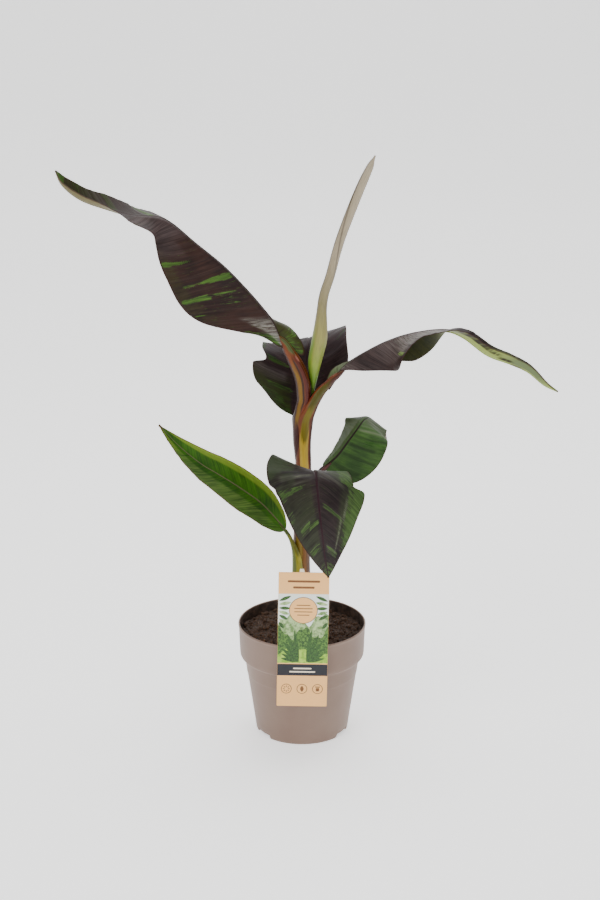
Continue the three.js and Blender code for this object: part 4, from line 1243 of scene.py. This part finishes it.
def card_material(name, colour, fleck, strength=0.4):
    m = Shader(name)
    fibres = m.noise(m.place(), 700, 4, 0.7)
    cloud = m.noise(m.place(), 60, 3)
    tone = m.mix(m.times(m.step(fibres, 0.5, 0.75), strength), colour, fleck)
    tone = m.mix(m.times(cloud, 0.18), tone, fleck)
    m.coat(tone, fibres, 0.1, 0.62)
    m.bump(fibres, 0.00008, 0.4)
    return m.material


def foliage_material(name, dark, light, scale):
    """Printed greenery: dappled between two greens."""
    m = Shader(name)
    dapple = m.noise(m.place(), scale, 4, 0.65)
    m.coat(m.ramp(dapple, (0.40, dark), (0.60, light)), dapple, 0.1, 0.5)
    m.bump(dapple, 0.00005, 0.3)
    return m.material


def build_label():
    kraft = card_material("label_kraft", rgb(254, 194, 120), rgb(240, 172, 98), strength=0.3)
    back = card_material("label_back", rgb(214, 170, 116), rgb(190, 146, 94))
    sky = card_material("label_sky", rgb(236, 242, 234), rgb(206, 222, 206))
    far = foliage_material("label_far", rgb(96, 132, 66), rgb(176, 200, 140), 210)
    middle = foliage_material("label_middle", rgb(28, 60, 20), rgb(92, 136, 48), 330)
    near = foliage_material("label_near", rgb(120, 168, 34), rgb(170, 206, 74), 160)
    frond = foliage_material("label_frond", rgb(22, 50, 18), rgb(60, 104, 34), 500)
    band = card_material("label_band", rgb(26, 28, 36), rgb(40, 42, 52))
    ink = card_material("label_ink", rgb(120, 78, 40), rgb(98, 62, 32))
    white = card_material("label_white", rgb(246, 232, 208), rgb(230, 212, 180))
    w, h = CARD["width"] / 2, CARD["height"]
    p = Print()
    p.add(rounded(-w, 0, w, h, 1.2), kraft, 0, CARD["thick"], rear=back)

    def zone(low, high, material, level=1):
        p.add([(w - INSET, low), (w - INSET, high), (-w + INSET, high), (-w + INSET, low)],
              material, level)

    def ridge(base, height, pace, start, material, level):
        crest = []
        for k in range(RIDGE_STEPS + 1):
            lift = math.sin(k * pace + start) + 0.4 * math.sin(2.7 * k * pace + 1)
            crest.append((w - INSET - 2 * (w - INSET) * k / RIDGE_STEPS, base + height * lift))
        p.add([(-w + INSET, PICTURE_FOOT), (w - INSET, PICTURE_FOOT)] + crest, material, level)

    zone(PICTURE_FOOT, PICTURE_TOP, sky)
    ridge(124, 8, 0.42, 0.5, far, 1.4)
    ridge(105, 8, 0.5, 2.2, middle, 1.8)
    ridge(78, 5, 0.25, 4, near, 2.2)
    for side in (-1, 1):
        for k in range(6):
            spread = 8 + 14 * k
            reach = min(46 - 3 * k, (w - 9) / math.sin(math.radians(spread + 6)))
            p.add(leaflet(side * 5, PICTURE_FOOT + 2, reach, 5.2, 90 - side * spread), frond,
                  2.4 + 0.2 * k)
    for side in (-1, 1):
        for k in range(7):
            high = PICTURE_TOP - 10 - 5 * k
            turn = 90 - side * (66 + 13 * k)
            p.add(leaflet(-side * (w - 1.4), high, 17 - k, 4.6, turn), far if k % 2 else frond,
                  2.4 + 0.15 * k)
    p.add(disc(0, BADGE_HEIGHT, BADGE_RADII[0]), ink, 3.8)
    p.add(disc(0, BADGE_HEIGHT, BADGE_RADII[1]), kraft, 4.1)
    for k, reach in enumerate((9, 12, 12, 8)):
        z = 143.5 - 4.6 * k
        p.add(rounded(-reach, z, reach, z + 1.2, 0.5, 3), ink, 4.4)
    zone(*BAND, band)
    for z, reach in ((53.4, 12), (48.6, 17)):
        p.add(rounded(-reach, z, reach, z + 1.9, 0.8, 3), white, 1.4)
    for x in (-ICON_SPACING, 0, ICON_SPACING):
        p.add(disc(x, ICON_HEIGHT, ICON_RADII[0], 32), ink, 1)
        p.add(disc(x, ICON_HEIGHT, ICON_RADII[1], 32), kraft, 1.4)
    for k in range(8):
        turn = k * math.pi / 4
        x, z = -ICON_SPACING + 2 * math.cos(turn), ICON_HEIGHT + 2 * math.sin(turn)
        p.add(leaflet(x, z, 2.9, 1.3, k * 45), ink, 1.8)
    p.add(leaflet(0, 20.6, 8.8, 4.8, 90), ink, 1.8)
    p.add(rounded(18.2, 21.6, 22.8, 26.4, 0.8, 3), ink, 1.8)
    p.add(rounded(17.2, 27.2, 23.8, 28.6, 0.5, 3), ink, 1.8)
    for z, reach in ((179, 21), (170.5, 14)):
        p.add(rounded(-reach, z - 3, reach, z, 1.3, 4), ink, 1)
    place(p.build("label_card"), "label", "plant_label")
    return white


def build_stake(material):
    """The strip that carries the card: it stands in the soil and steps over the rim."""
    path = [(-79.5, 117), (-79.5, 157), (-79.8, 160), (-86.4, 168), (-86.6, 172), (-86.6, 259),
            (-86.6, 264)]
    half, thick, tip_share = 3.5, 0.7, 0.7
    points = []
    for k, (y, z) in enumerate(path):
        reach = half if k < len(path) - 1 else half * tip_share
        for x, d in ((-reach, -thick), (reach, -thick), (reach, thick), (-reach, thick)):
            points.append((x, y + d, z))
    index, _, walls = ring_faces(len(path), 4)
    faces = walls.tolist() + [index[0][::-1].tolist(), index[-1].tolist()]
    obj = link_mesh("label_stake", points, faces, [material], smooth=False)
    bevel = obj.modifiers.new("soft_edges", "BEVEL")
    bevel.width = 0.0003
    bevel.segments = 2
    place(obj, "label")


label_white = build_label()
build_stake(label_white)


# ---------------------------------------------------------------- floor and light

STAGE_GLOW = 0.9  # the floor is lit from below as well, like a light table
PLANT_MIDDLE = Vector((0, 0, 0.4))


def build_stage():
    """A pale floor that curves up into a backdrop."""
    back, bend = 3.0, 1.5
    profile = [(-6.0, 0.0), (back, 0.0)]
    for turn in np.linspace(0.1, math.pi / 2, 12):
        profile.append((back + bend * math.sin(turn), bend - bend * math.cos(turn)))
    profile.append((back + bend, 6.0))
    points = [(x, y, z) for y, z in profile for x in (-6, 6)]
    faces = [(2 * k, 2 * k + 1, 2 * k + 3, 2 * k + 2) for k in range(len(profile) - 1)]
    m = Shader("stage_paper")
    m.set("Base Color", m.ramp(m.noise(m.place(), 0.6, 2), (0.3, rgb(244, 244, 243)),
                               (0.7, rgb(250, 250, 250))))
    m.set("Roughness", 0.9)
    m.set("Emission Color", (1, 1, 1, 1))
    m.set("Emission Strength", STAGE_GLOW)
    stage = link_mesh("stage_floor", np.array(points) / MM, faces, [m.material])


def add_light(name, place_m, size, power):
    """A square area light that looks at the middle of the plant."""
    data = bpy.data.lights.new(name, "AREA")
    data.shape = "RECTANGLE"
    data.size = size
    data.size_y = size
    data.energy = power
    obj = bpy.data.objects.new(name, data)
    obj.location = place_m
    obj.rotation_euler = (PLANT_MIDDLE - Vector(place_m)).to_track_quat("-Z", "Y").to_euler()
    scene.collection.objects.link(obj)


build_stage()
add_light("key", (-1.6, -2.0, 2.2), 1.6, 45)
add_light("fill", (2.0, -1.8, 1.2), 1.8, 18)
add_light("top", (0.2, 0.6, 2.4), 1.6, 40)
world = bpy.data.worlds.new("studio")
world.use_nodes = True
world.node_tree.nodes["Background"].inputs["Color"].default_value = (1, 1, 1, 1)
world.node_tree.nodes["Background"].inputs["Strength"].default_value = 0.45
scene.world = world
